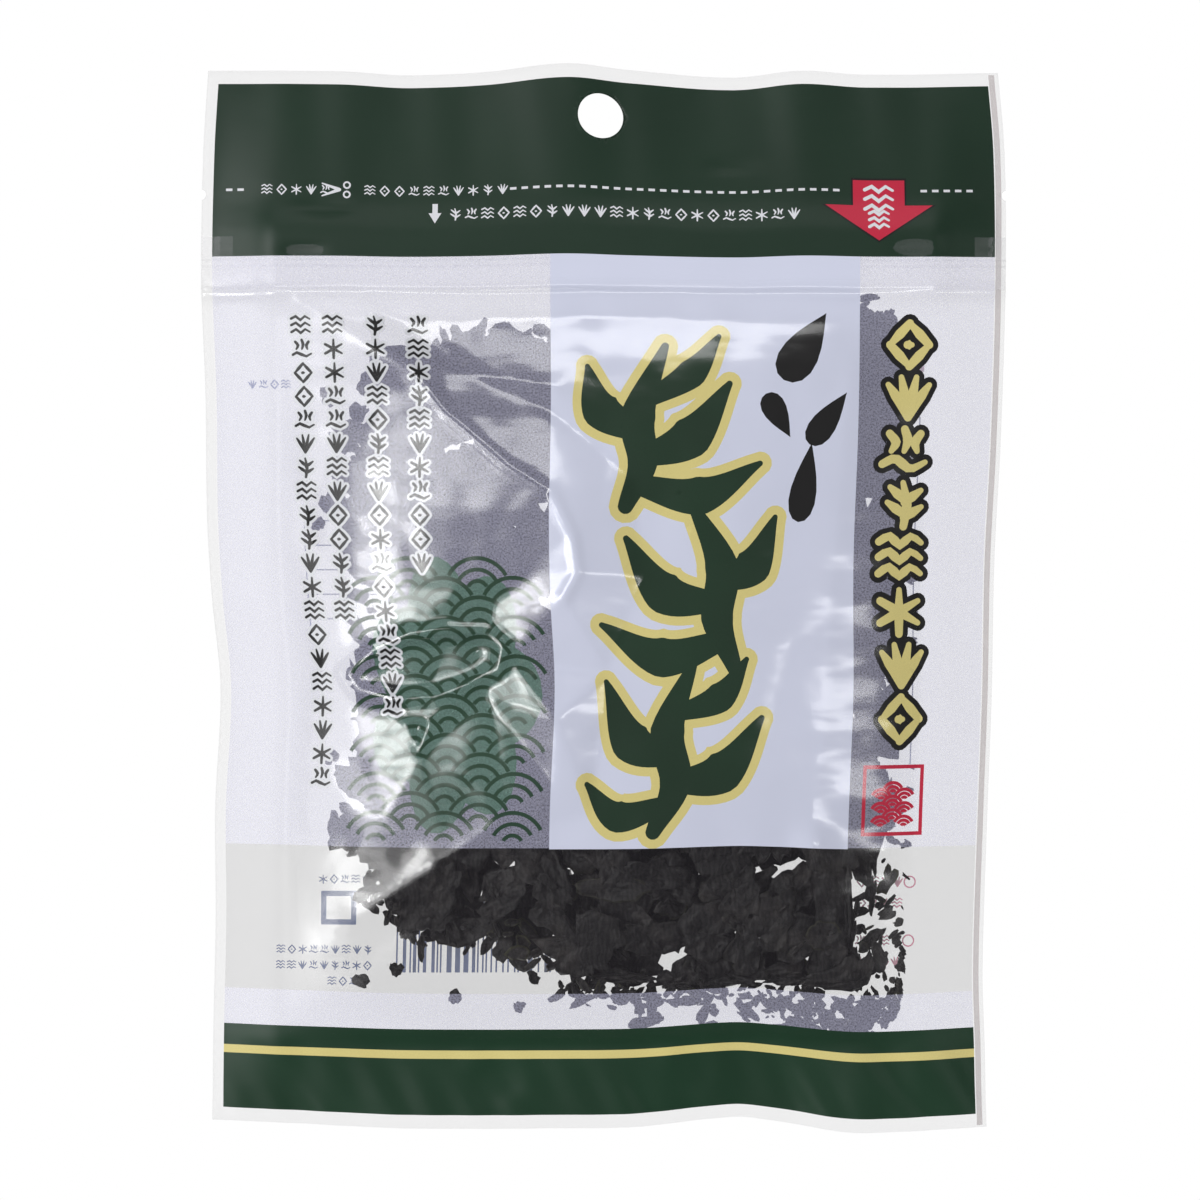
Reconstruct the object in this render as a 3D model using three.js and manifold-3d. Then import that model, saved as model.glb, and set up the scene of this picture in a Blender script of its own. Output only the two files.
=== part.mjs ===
// A flat zip pouch of dried, cut wakame, lying on its back, in millimetres.
//
// +X runs to the right across the pouch, +Y up towards the header with the hang hole, and +Z out of
// the printed front. The pouch is made flat, as its films are, and then bent: a point of the flat
// pouch is (s, t, w), with s across, t up, and w the distance from the plane where the films meet.
import * as THREE from "three";
import { mergeVertices } from "three/addons/utils/BufferGeometryUtils.js";
import Module from "manifold-3d";

const wasm = await Module();
wasm.setup();

// The pouch, flat.
const WIDTH = 150;
const HEIGHT = 200;
const FILM = 0.4;
const WELD_GAP = 0.1;
const SIDE_SEAL = 14;
const BOTTOM_SEAL = 16.5;
const TOP_SEAL = 24;

// The hang hole and the two tear notches beside the cut line.
const HOLE = { s: -0.6, t: 90.5, radius: 4.25 };
const NOTCH = { t: 76, radius: 1 };
const CUT_SIDES = 24;

// The press-to-close zip: two tapes whose ridge and groove snap together.
const ZIP = { t: 63, tape: 10, thickness: 0.4, between: 1.6, clear: 0.12, lead: 6 };

// The bent pouch.
const CAVITY = { low: -HEIGHT / 2 + BOTTOM_SEAL, high: ZIP.t - ZIP.tape / 2, half: WIDTH / 2 - SIDE_SEAL };
const SEAL_LIFT = 6;
const FRONT_BULGE = 12.6;
const BACK_BULGE = 12;
const FLOOR_ROUND = 2.2;
const HEADER_DROP = 3.2;
const FOOT_DROP = 2.4;
const SIDE_DROP = 2.8;
const WAVE_LIFT = 1.1;

// How the four edges run, as [distance along the flat edge, place of the bent edge].
const LEFT_EDGE = [
  [-100, -73], [-80, -72.7], [-60, -72.3], [-40, -72.4], [-17, -71.4], [0, -73], [15, -73.9],
  [38, -74.2], [60, -75], [84, -74.6], [100, -73.7],
];
const RIGHT_EDGE = [
  [-100, 71.4], [-85, 71.1], [-70, 70.7], [-40, 71.6], [-18, 72.4], [7, 72.9], [30, 74.1],
  [60, 75], [84, 74.8], [100, 73.6],
];
const TOP_EDGE = [
  [-75, 98.4], [-50, 98.3], [-37, 97.6], [-22, 98.2], [-7, 99.7], [5, 98.5], [24.5, 97.2],
  [37.5, 98.4], [50, 97.7], [75, 98],
];
const BOTTOM_EDGE = [
  [-75, -97.2], [-55, -98], [-37, -98.7], [-5, -98.7], [8, -98.4], [26, -96.7], [34, -97.4],
  [47, -99.3], [54, -99.5], [75, -98.4],
];

// Folds of the front film: from one point to another, with the height and half width of the ridge.
const FOLDS = [
  { from: [-58, 54], to: [-9, 18], rise: 1.5, spread: 5 },
  { from: [-50, -16], to: [-8, 3], rise: 1.6, spread: 5 },
  { from: [-9, 18], to: [-7, 3], rise: 1.1, spread: 5 },
  { from: [-47, -60], to: [-20, -42], rise: 1.3, spread: 5 },
  { from: [-12, -46], to: [-8, 3], rise: 0.8, spread: 6 },
  { from: [46, -46], to: [58, -70], rise: 1.2, spread: 5 },
  { from: [46, 44], to: [20, -60], rise: 0.7, spread: 7 },
];

// The wakame: the outline that it lies in, seen from the front, and the rules for its flakes.
const BED_CENTRE = [6, -13];
const BED_OUTLINE = [
  [58.5, 0], [59, 28], [56, 50], [49.6, 54.5], [36.6, 51.8], [18, 53.5], [-0.6, 52.7],
  [-10.9, 49], [-19.3, 52.2], [-29.5, 53.3], [-34, 49], [-40.7, 42.5], [-47.2, 29.5],
  [-48.1, 7.2], [-46.8, -18.9], [-48.1, -43.1], [-43, -55.2], [-37.9, -61.7], [-27.6, -63],
  [-19.3, -61.7], [-11.8, -66.3], [-7.2, -72], [4, -76.2], [18, -77.5], [36.6, -78.5],
  [55, -79.5], [58.5, -71.9], [58, -56.1], [58.5, -28.2],
];
const BED_CLEAR = 0.55;
const BLADE = 0.7;
const FLAKE = { corners: 6, reach: [0.6, 1.1], longest: 1.5, tilt: 0.16, curl: 0.12 };
const LAYERS = [
  { spacing: 15, size: [7, 10.5], level: [0.04, 0.22] },
  { spacing: 11.5, size: [5.6, 9.2], level: [0.76, 0.97] },
];
const JITTER = 4;
const EDGE_INSET = 3.5;
const CORE = { shares: [0.45, 0.8, 0.93], low: 0.16, high: 0.8 };
const RANDOM_START = 20231;

// Flakes that lie apart from the rest: place, size, and turn in degrees.
const LOOSE_FLAKES = [
  { at: [-39.5, -69.5], size: 1.5, turn: 75 },
  { at: [-15.5, -76.5], size: 1.4, turn: 60 },
  { at: [-51.5, 38], size: 2.2, turn: 130 },
  { at: [-53, -30], size: 1.9, turn: 10 },
  { at: [-28, -75], size: 1.7, turn: 100 },
  { at: [-53.5, 14], size: 1.6, turn: 40 },
  { at: [-46, -72], size: 2, turn: 155 },
];

const clamp = THREE.MathUtils.clamp;
const smooth = THREE.MathUtils.smoothstep;
const mix = THREE.MathUtils.lerp;

// A smooth curve through points, each slope the one between its neighbours.
function curveAt(points, x) {
  const last = points.length - 1;
  let i = 0;
  while (i < last - 1 && x > points[i + 1][0]) i++;
  const slope = (k) => {
    const a = points[Math.max(k - 1, 0)];
    const b = points[Math.min(k + 1, last)];
    return (b[1] - a[1]) / (b[0] - a[0]);
  };
  const [x0, y0] = points[i];
  const [x1, y1] = points[i + 1];
  const span = x1 - x0;
  const u = clamp((x - x0) / span, 0, 1);
  const rise = y1 - y0;
  const start = slope(i) * span;
  const end = slope(i + 1) * span;
  return y0 + u * (start + u * (3 * rise - 2 * start - end + u * (start + end - 2 * rise)));
}

// How far t is along the header and the foot: 0 at the zip or the cavity, 1 at the pouch's edge.
const ZIP_TOP = ZIP.t + ZIP.tape / 2;
const headerShare = (t) => clamp((t - ZIP_TOP) / (HEIGHT / 2 - ZIP_TOP), 0, 1);
const footShare = (t) => clamp((CAVITY.low - t) / BOTTOM_SEAL, 0, 1);

// Height of the plane where the films meet: it droops outside the cavity, and the ends wave.
function meetingHeight(s, t) {
  const side = smooth(Math.abs(s), CAVITY.half, WIDTH / 2);
  const header = headerShare(t);
  const foot = footShare(t);
  const topWave = curveAt(TOP_EDGE, s) - 98.1;
  const bottomWave = -98.2 - curveAt(BOTTOM_EDGE, s);
  return (
    SEAL_LIFT -
    SIDE_DROP * side * (1 - header) * (1 - foot) -
    HEADER_DROP * header ** 1.3 -
    FOOT_DROP * foot +
    WAVE_LIFT * (topWave * header + bottomWave * foot)
  );
}

// Place in plan: the flat sheet stretched between its four bent edges, the ends' waves dying away.
function planOf(s, t) {
  const across = (s + WIDTH / 2) / WIDTH;
  const x = mix(curveAt(LEFT_EDGE, t), curveAt(RIGHT_EDGE, t), across);
  const up = ((t + HEIGHT / 2) / HEIGHT) ** 6;
  const down = ((HEIGHT / 2 - t) / HEIGHT) ** 4;
  const y =
    t + (curveAt(TOP_EDGE, s) - HEIGHT / 2) * up + (curveAt(BOTTOM_EDGE, s) + HEIGHT / 2) * down;
  return [x, y];
}

// The pillow, from 0 on the seals to 1 in the middle of the cavity.
function pillow(s, t) {
  const middle = (CAVITY.high + CAVITY.low) / 2;
  const a = clamp(Math.abs(s) / CAVITY.half, 0, 1);
  const b = clamp(Math.abs(t - middle) / (CAVITY.high - middle), 0, 1);
  return (1 - a ** 2.4) ** 0.85 * (1 - b ** 2.6) ** 0.85;
}

// Height of the folds: each a rounded ridge that fades at its ends and towards the seals.
function folds(s, t) {
  let height = 0;
  for (const { from, to, rise, spread } of FOLDS) {
    const along = [to[0] - from[0], to[1] - from[1]];
    const length = Math.hypot(...along);
    const u = ((s - from[0]) * along[0] + (t - from[1]) * along[1]) / length;
    const off = ((s - from[0]) * along[1] - (t - from[1]) * along[0]) / length;
    const past = Math.max(-u, u - length, 0);
    height += rise * Math.exp(-(off * off + past * past) / (spread * spread));
  }
  return height * smooth(pillow(s, t), 0, 0.5);
}

// Half the distance between the films around the closed zip, crushed flat inside the side seals.
const crush = (s) => 1 - 0.6 * smooth(Math.abs(s), CAVITY.half, CAVITY.half + 5);
const zipHalf = ZIP.between / 2 + ZIP.thickness + ZIP.clear;
function zipOpening(s, t) {
  const above = 1 - smooth(t, ZIP_TOP, HEIGHT / 2 - TOP_SEAL);
  const below = smooth(t, CAVITY.high - ZIP.lead, CAVITY.high - 1);
  return zipHalf * crush(s) * above * below;
}

// The two inner faces of the pouch: the front film's and the back film's.
function frontInside(s, t) {
  const opening = WELD_GAP / 2 + zipOpening(s, t) + FRONT_BULGE * pillow(s, t) + folds(s, t);
  return meetingHeight(s, t) + opening;
}
function backInside(s, t) {
  const belly = pillow(s, t);
  const opening = WELD_GAP / 2 + zipOpening(s, t) + BACK_BULGE * belly;
  const outside = meetingHeight(s, t) - opening - FILM;
  if (outside < -FLOOR_ROUND) return FILM;
  if (belly === 0 || outside > FLOOR_ROUND) return outside + FILM;
  return (outside + FLOOR_ROUND) ** 2 / (4 * FLOOR_ROUND) + FILM;
}

// Keeps the positions alone, with shared vertices merged, so that a geometry is one closed surface.
function closed(geometry) {
  geometry.deleteAttribute("normal");
  geometry.deleteAttribute("uv");
  return mergeVertices(geometry, 1e-4);
}

function solidFrom(geometry) {
  const merged = closed(geometry);
  return new wasm.Manifold(
    new wasm.Mesh({
      numProp: 3,
      vertProperties: merged.getAttribute("position").array,
      triVerts: new Uint32Array(merged.index.array),
    }),
  );
}

function geometryFrom(solid) {
  const { vertProperties, triVerts } = solid.getMesh();
  const geometry = new THREE.BufferGeometry();
  geometry.setAttribute("position", new THREE.BufferAttribute(vertProperties, 3));
  geometry.setIndex(new THREE.BufferAttribute(triVerts, 1));
  geometry.computeVertexNormals();
  return geometry;
}

// Where the sheet's grid lines run: close to 6 mm apart, with one on each line that bends.
const spread = (from, to, count) => Array.from({ length: count }, (_, i) => mix(from, to, i / count));
const ACROSS = [
  ...spread(-WIDTH / 2, -CAVITY.half, 2),
  ...spread(-CAVITY.half, CAVITY.half, 20),
  ...spread(CAVITY.half, WIDTH / 2, 2),
  WIDTH / 2,
];
const UP = [
  ...spread(-HEIGHT / 2, CAVITY.low, 3),
  ...spread(CAVITY.low, CAVITY.high - ZIP.lead, 22),
  ...spread(CAVITY.high - ZIP.lead, CAVITY.high, 2),
  CAVITY.high,
  ...spread(ZIP_TOP, HEIGHT / 2 - TOP_SEAL, 2),
  ...spread(HEIGHT / 2 - TOP_SEAL, HEIGHT / 2, 4),
  HEIGHT / 2,
];

// A closed solid over an open patch of triangles, split alike on both faces, with a wall round it.
// The patch is a list of flat places and of corner numbers; topAt and floorAt give its two heights.
function slab(places, patch, topAt, floorAt) {
  const points = [topAt, floorAt].flatMap((heightAt) =>
    places.flatMap(([s, t], i) => [...planOf(s, t), heightAt(s, t, i)]),
  );
  const count = places.length;
  const faces = [];
  const rim = new Map();
  for (let i = 0; i < patch.length; i += 3) {
    const corners = patch.slice(i, i + 3);
    faces.push(...corners, ...corners.map((k) => k + count).reverse());
    corners.forEach((a, k) => {
      const b = corners[(k + 1) % 3];
      if (!rim.delete(b + " " + a)) rim.set(a + " " + b, [a, b]);
    });
  }
  for (const [a, b] of rim.values()) faces.push(b, a, a + count, b, a + count, b + count);
  const geometry = new THREE.BufferGeometry();
  geometry.setAttribute("position", new THREE.Float32BufferAttribute(points, 3));
  geometry.setIndex(faces);
  return solidFrom(geometry);
}

// The punches that go through both films: the hang hole and the tear notches.
function punches() {
  const punch = (s, t, radius) => {
    const [x, y] = planOf(s, t);
    const rod = new THREE.CylinderGeometry(radius, radius, 60, CUT_SIDES).rotateX(Math.PI / 2);
    return solidFrom(rod.translate(x, y, 0));
  };
  return punch(HOLE.s, HOLE.t, HOLE.radius)
    .add(punch(-WIDTH / 2 - 0.2, NOTCH.t, NOTCH.radius))
    .add(punch(WIDTH / 2 + 0.2, NOTCH.t, NOTCH.radius));
}

function film(floorAt) {
  const columns = ACROSS.length;
  const places = UP.flatMap((t) => ACROSS.map((s) => [s, t]));
  const patch = [];
  for (let row = 0; row < UP.length - 1; row++) {
    for (let column = 0; column < columns - 1; column++) {
      const a = row * columns + column;
      patch.push(a, a + 1, a + columns + 1, a, a + columns + 1, a + columns);
    }
  }
  const sheet = slab(places, patch, (s, t) => floorAt(s, t) + FILM, floorAt);
  return geometryFrom(sheet.subtract(punches()));
}

// A zip strip: its cross-section in t and w, run the pouch's width, with a step on each grid line.
function zipStrip(section) {
  const columns = ACROSS.length - 1;
  const strip = new THREE.ExtrudeGeometry(new THREE.Shape(section.map(([t, w]) => new THREE.Vector2(t, w))), {
    depth: columns,
    steps: columns,
    bevelEnabled: false,
  });
  const place = strip.getAttribute("position");
  for (let i = 0; i < place.count; i++) {
    const s = ACROSS[Math.round(place.getZ(i))];
    const t = ZIP.t + place.getX(i);
    const [x, y] = planOf(s, t);
    place.setXYZ(i, x, y, meetingHeight(s, t) + place.getY(i) * crush(s));
  }
  return closed(strip);
}

// The ridge strip hangs from the front film: a tape, a stem and an arrow head.
function zipRidge() {
  const half = ZIP.tape / 2;
  const low = ZIP.between / 2;
  return zipStrip([
    [-half, low], [-0.3, low], [-0.3, 0.1], [-0.65, 0.1], [-0.25, -0.5], [0.25, -0.5], [0.65, 0.1],
    [0.3, 0.1], [0.3, low], [half, low], [half, low + ZIP.thickness], [-half, low + ZIP.thickness],
  ]);
}

// The groove strip stands on the back film: a tape and two hooked jaws round the arrow head.
function zipGroove() {
  const half = ZIP.tape / 2;
  const high = -ZIP.between / 2;
  return zipStrip([
    [-half, high - ZIP.thickness], [half, high - ZIP.thickness], [half, high], [1.35, high],
    [1.35, 0.35], [1, 0.6], [0.5, 0.5], [0.5, 0.3], [0.85, 0.2], [0.85, high], [-0.85, high],
    [-0.85, 0.2], [-0.5, 0.3], [-0.5, 0.5], [-1, 0.6], [-1.35, 0.35], [-1.35, high], [-half, high],
  ]);
}

// A repeatable stream of numbers from 0 to 1.
function drawing(start) {
  let state = start;
  return () => {
    state = (Math.imul(state, 1664525) + 1013904223) >>> 0;
    return state / 4294967296;
  };
}

// Height in the bed: level 0 lies on the back film and level 1 under the front film.
function bedHeight(s, t, level) {
  const low = backInside(s, t) + BED_CLEAR + BLADE / 2;
  const high = frontInside(s, t) - folds(s, t) - BED_CLEAR - BLADE / 2;
  return mix(low, Math.max(high, low), clamp(level, 0, 1));
}

// A place moved towards the bed's middle until the films there are far enough apart for a flake.
function fitted({ s, t }) {
  const room = () => frontInside(s, t) - backInside(s, t) - 2 * BED_CLEAR - BLADE;
  while (Math.abs(s) > CAVITY.half || t > CAVITY.high || t < CAVITY.low || room() < 0.3) {
    s = mix(s, BED_CENTRE[0], 0.03);
    t = mix(t, BED_CENTRE[1], 0.03);
  }
  return { s, t };
}

function insideOutline(s, t) {
  let inside = false;
  BED_OUTLINE.forEach(([s0, t0], i) => {
    const [s1, t1] = BED_OUTLINE[(i + 1) % BED_OUTLINE.length];
    if (t0 > t !== t1 > t && s < s0 + ((t - t0) / (t1 - t0)) * (s1 - s0)) inside = !inside;
  });
  return inside;
}

// One torn flake: an irregular outline round its middle, each corner on its own level in the bed.
function flakePlan(draw, s, t, size) {
  const long = mix(1, FLAKE.longest, draw());
  const turn = draw() * Math.PI;
  const tilt = FLAKE.tilt * draw();
  const tiltTo = draw() * 2 * Math.PI;
  const corners = [];
  for (let i = 0; i < FLAKE.corners; i++) {
    const angle = ((i + 0.7 * (draw() - 0.5)) / FLAKE.corners) * 2 * Math.PI;
    const reach = size * mix(...FLAKE.reach, draw());
    const lift = tilt * Math.cos(angle - tiltTo) + FLAKE.curl * (draw() - 0.5);
    const u = reach * long * Math.cos(angle);
    const v = (reach / long) * Math.sin(angle);
    corners.push({
      s: s + u * Math.cos(turn) - v * Math.sin(turn),
      t: t + u * Math.sin(turn) + v * Math.cos(turn),
      lift,
    });
  }
  return corners;
}

// A flake as a blade over a fan of triangles from its middle.
function blade(middle, corners, level) {
  const fan = [middle, ...corners].map((p) => ({ ...p, ...fitted(p) }));
  const patch = corners.flatMap((_, i) => [0, 1 + i, 1 + ((i + 1) % corners.length)]);
  const floorAt = (s, t, i) => bedHeight(s, t, level + fan[i].lift) - BLADE / 2;
  return slab(fan.map(({ s, t }) => [s, t]), patch, (s, t, i) => floorAt(s, t, i) + BLADE, floorAt);
}

// The matted middle of the bed, which the flakes lie on and stand out of.
function coreSolid() {
  const ring = BED_OUTLINE.length;
  const places = [BED_CENTRE];
  for (const share of CORE.shares) {
    for (const [s, t] of BED_OUTLINE) {
      const p = fitted({ s: mix(BED_CENTRE[0], s, share), t: mix(BED_CENTRE[1], t, share) });
      places.push([p.s, p.t]);
    }
  }
  const patch = [];
  for (let i = 0; i < ring; i++) {
    const j = (i + 1) % ring;
    patch.push(0, 1 + i, 1 + j);
    for (let inner = 1; inner + ring < places.length; inner += ring) {
      const outer = inner + ring;
      patch.push(inner + i, outer + i, outer + j, inner + i, outer + j, inner + j);
    }
  }
  const topAt = (s, t) => bedHeight(s, t, CORE.high) + BLADE / 2;
  return slab(places, patch, topAt, (s, t) => bedHeight(s, t, CORE.low) - BLADE / 2);
}

// Flakes on a jittered triangular grid in each layer, joined with the core; scraps are dropped.
function wakameBed() {
  const draw = drawing(RANDOM_START);
  const flakes = [];
  for (const { spacing, size, level } of LAYERS) {
    const rowHeight = spacing * Math.sqrt(0.75);
    for (let row = 0; CAVITY.low + row * rowHeight < CAVITY.high; row++) {
      for (let column = 0; column * spacing < 2 * CAVITY.half; column++) {
        const s = -CAVITY.half + (column + (row % 2) / 2) * spacing + JITTER * (draw() - 0.5);
        const t = CAVITY.low + row * rowHeight + JITTER * (draw() - 0.5);
        const reach = mix(...size, draw());
        const at = mix(...level, draw());
        const corners = flakePlan(draw, s, t, reach);
        const towards = Math.hypot(s - BED_CENTRE[0], t - BED_CENTRE[1]);
        const outer = 1 + EDGE_INSET / towards;
        const s1 = BED_CENTRE[0] + (s - BED_CENTRE[0]) * outer;
        const t1 = BED_CENTRE[1] + (t - BED_CENTRE[1]) * outer;
        if (insideOutline(s1, t1)) flakes.push(blade({ s, t, lift: 0 }, corners, at));
      }
    }
  }
  const joined = wasm.Manifold.union([coreSolid(), ...flakes]).decompose();
  joined.sort((a, b) => b.volume() - a.volume());
  return geometryFrom(joined[0]);
}

function looseFlake({ at: [s, t], size, turn }, index) {
  const corners = flakePlan(drawing(RANDOM_START + turn + index), s, t, size);
  return geometryFrom(blade({ s, t, lift: 0 }, corners, 0.5));
}

const clearFilm = new THREE.MeshStandardMaterial({
  color: 0xdedae2, roughness: 0.15, metalness: 0, transparent: true, opacity: 0.35,
});
const backPrint = new THREE.MeshStandardMaterial({
  color: 0xe6e3ea, roughness: 0.2, metalness: 0, transparent: true, opacity: 0.45,
});
const zipPlastic = new THREE.MeshStandardMaterial({
  color: 0xe4e2e8, roughness: 0.3, metalness: 0, transparent: true, opacity: 0.6,
});
const driedWakame = new THREE.MeshStandardMaterial({ color: 0x24241f, roughness: 0.6, metalness: 0 });

const pouch = new THREE.Group();

function place(name, geometry, material) {
  const mesh = new THREE.Mesh(geometry, material);
  mesh.name = name;
  pouch.add(mesh);
}

place("front_film", film(frontInside), clearFilm);
place("back_film", film((s, t) => backInside(s, t) - FILM), backPrint);
place("zip_ridge_strip", zipRidge(), zipPlastic);
place("zip_groove_strip", zipGroove(), zipPlastic);
place("wakame_bed", wakameBed(), driedWakame);
LOOSE_FLAKES.forEach((flake, i) => {
  place("loose_flake_" + (i + 1), looseFlake(flake, i), driedWakame);
});

// The origin is the middle of the bounding box's underside.
const bounds = new THREE.Box3().setFromObject(pouch);
const middle = bounds.getCenter(new THREE.Vector3());
pouch.position.set(-middle.x, -middle.y, -bounds.min.z);

export default pouch;
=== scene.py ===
"""A flat zip pouch of dried cut wakame, lying on its back and seen from straight above.

The films are worked out flat, as they are printed and cut, and then bent: a point of the flat pouch
is (s, t) in millimetres, s across and t up, and its height comes from the shape of the filled pouch.
"""

import math

import bpy
import numpy as np
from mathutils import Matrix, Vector
from mathutils.geometry import delaunay_2d_cdt

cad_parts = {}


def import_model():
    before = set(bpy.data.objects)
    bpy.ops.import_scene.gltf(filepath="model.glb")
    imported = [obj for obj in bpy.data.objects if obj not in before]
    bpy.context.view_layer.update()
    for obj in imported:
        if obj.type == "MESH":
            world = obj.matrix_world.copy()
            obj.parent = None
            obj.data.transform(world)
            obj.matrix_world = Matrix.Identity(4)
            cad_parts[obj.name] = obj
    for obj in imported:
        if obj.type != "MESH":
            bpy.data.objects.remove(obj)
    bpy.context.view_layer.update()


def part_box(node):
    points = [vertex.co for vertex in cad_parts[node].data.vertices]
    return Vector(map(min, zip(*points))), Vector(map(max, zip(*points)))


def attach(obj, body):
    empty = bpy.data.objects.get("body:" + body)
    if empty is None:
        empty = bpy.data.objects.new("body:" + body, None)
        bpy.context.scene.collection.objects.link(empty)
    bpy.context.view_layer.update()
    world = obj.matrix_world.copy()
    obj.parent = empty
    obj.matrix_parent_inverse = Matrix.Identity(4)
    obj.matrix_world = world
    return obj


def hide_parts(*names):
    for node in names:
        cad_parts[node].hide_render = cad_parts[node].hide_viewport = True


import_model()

MM = 0.001

# The pouch, flat, in millimetres.
WIDTH, HEIGHT = 150.0, 200.0
FILM = 0.1
WELD_GAP = 0.1
SIDE_SEAL, BOTTOM_SEAL, TOP_SEAL = 14.0, 16.5, 24.0
HOLE_PLACE, HOLE_RADIUS = (-0.6, 90.5), 4.25
NOTCH_HEIGHT, NOTCH_RADIUS = 76.0, 1.0
ZIP_MIDDLE, ZIP_TAPE, ZIP_THICKNESS, ZIP_BETWEEN, ZIP_CLEAR = 63.0, 10.0, 0.4, 1.6, 0.12

# The bent pouch.
CAVITY_LOW = -HEIGHT / 2 + BOTTOM_SEAL
CAVITY_HIGH = ZIP_MIDDLE - ZIP_TAPE / 2
CAVITY_HALF = WIDTH / 2 - SIDE_SEAL
ZIP_TOP = ZIP_MIDDLE + ZIP_TAPE / 2
SEAL_LIFT, FRONT_BULGE, BACK_BULGE, FLOOR_ROUND = 6.0, 12.6, 12.0, 2.2
HEADER_DROP, FOOT_DROP, SIDE_DROP, WAVE_LIFT = 3.2, 2.4, 2.8, 1.1

# How the four edges run, as (distance along the flat edge, place of the bent edge).
LEFT_EDGE = [
    (-100, -73), (-80, -72.7), (-60, -72.3), (-40, -72.4), (-17, -71.4), (0, -73), (15, -73.9),
    (38, -74.2), (60, -75), (84, -74.6), (100, -73.7),
]
RIGHT_EDGE = [
    (-100, 71.4), (-85, 71.1), (-70, 70.7), (-40, 71.6), (-18, 72.4), (7, 72.9), (30, 74.1),
    (60, 75), (84, 74.8), (100, 73.6),
]
TOP_EDGE = [
    (-75, 98.4), (-50, 98.3), (-37, 97.6), (-22, 98.2), (-7, 99.7), (5, 98.5), (24.5, 97.2),
    (37.5, 98.4), (50, 97.7), (75, 98),
]
BOTTOM_EDGE = [
    (-75, -97.2), (-55, -98), (-37, -98.7), (-5, -98.7), (8, -98.4), (26, -96.7), (34, -97.4),
    (47, -99.3), (54, -99.5), (75, -98.4),
]

# Folds of the front film: from one point to another, with the height and half width of the ridge.
FOLDS = [
    ((-47, -60), (-20, -42), 1.0, 4), ((46, 44), (41, -46), 0.6, 6), ((41, -46), (50, -71), 1.2, 4),
    ((36, -46), (46, -71), -0.5, 3), ((-30, -52), (-10, -70), 0.5, 4), ((-31, 43), (-9, 39), 0.9, 3.5),
]

# Facets of the creased film on the left: how far each point stands above the smooth pillow. Runs of
# points are joined by creases: the long crease, the rim and floor of a tongue-shaped hollow, a small
# hollow below it, and the edges of the flatter parts.
FACET_RUNS = [
    [(-56.7, 55.4, 0.5), (-48.7, 50.8, 1.6), (-37, 43.7, 3.3), (-29, 34.2, 3.5), (-17.9, 24.6, 3.6),
     (-9.3, 19.2, 3.8), (-5.6, 11.7, 3.7), (-4.5, 4.8, 3.7), (-7.4, 0, 3.7), (-20.5, -0.8, 0.6)],
    [(-53.5, -10.2, 1.2), (-37.9, -6.6, 1.9), (-30, -5.6, 1.6), (-21.6, -5.4, 0.5), (-18.4, -11.5, 0.7),
     (-23.6, -18, -0.1), (-31, -19.6, 1.0), (-38.2, -20, 1.3), (-48.6, -17.8, 1.2), (-53.5, -10.2, 1.2)],
    [(-47, -12.3, 1.8), (-38, -9, 0.7), (-30, -8.3, 0.1), (-23.6, -8, 0), (-20.8, -11.6, 0.1),
     (-25, -15.8, -0.2), (-31, -17.2, 0), (-38.5, -17.8, 0.7), (-46, -16.2, 1.7), (-47, -12.3, 1.8)],
    [(-40.6, -21.6, 1.1), (-33, -21.8, 1.5), (-35.6, -30, 1.1), (-40.6, -21.6, 1.1)],
    [(-38.6, -22.8, 0.4), (-34.6, -23, 0.3), (-35.8, -27.6, 0.4), (-38.6, -22.8, 0.4)],
    [(-9.5, -22, 3.4), (-9, -35, 1.4)],
    [(-47, 25, 2.3), (-41, 17, 2.4), (-27, 16.3, 2.8), (-12, 15.8, 3.6)],
]
FACET_POINTS = [
    (-64, 58, 0), (-13.5, 4.4, 2.0), (-42, 2, 1.2), (-28, 2, 1.5), (-54, 8, 0.3), (-47, -31, 0.3),
    (-42, -41, 1.1), (-14, -43, 0.1), (8, 4, 0), (6, 22, 0), (-10, 34, 0.4), (-30, 45, 0), (-46, 58, 0),
    (-61, 30, 0), (-62, 0, 0), (-61, -30, 0), (-56, -60, 0), (-30, -58, 0), (-2, -40, 0), (0, -14, 0),
]
FACET_ROUNDING = 0.8
FACET_BOX = (-62, 8, -48, 56)
ZIP_CREASE, ZIP_CREASE_ROWS = 57.3, (56.0, 59.0)

# Lips: thin rounded ridges round the two hollows and along the crease, as (height, half width, run).
LIPS = [
    (1.1, 1.5, [(-50, -14), (-44, -9.4), (-37, -7.0), (-29, -6.1), (-22.5, -6.3), (-19.6, -9), (-20.8, -13),
                (-26, -15.8), (-33, -18), (-41, -18.8), (-48, -17.2), (-50, -14)]),
    (0.75, 1.0, [(-38.8, -22), (-34.2, -22.6), (-35.6, -28.2), (-38.8, -22)]),
    (0.4, 1.1, [(-56.7, 55.4), (-48.7, 50.8), (-37, 43.7), (-29, 34.2), (-17.9, 24.6), (-9.3, 19.2),
                (-5.6, 11.7), (-4.5, 4.8), (-7.4, 0)]),
]

# Small dents in the seals: place, half sizes and depth.
DENTS = [
    ((-52, 73.6), (6, 1.4), 0.5), ((-55.5, 65.2), (4, 1.2), 0.4), ((24, 82), (5, 1.2), 0.3),
    ((-20, -91), (5, 4), 0.35), ((18, -90), (4, 5), 0.3), ((58, 66), (5, 2), 0.3),
]

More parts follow.
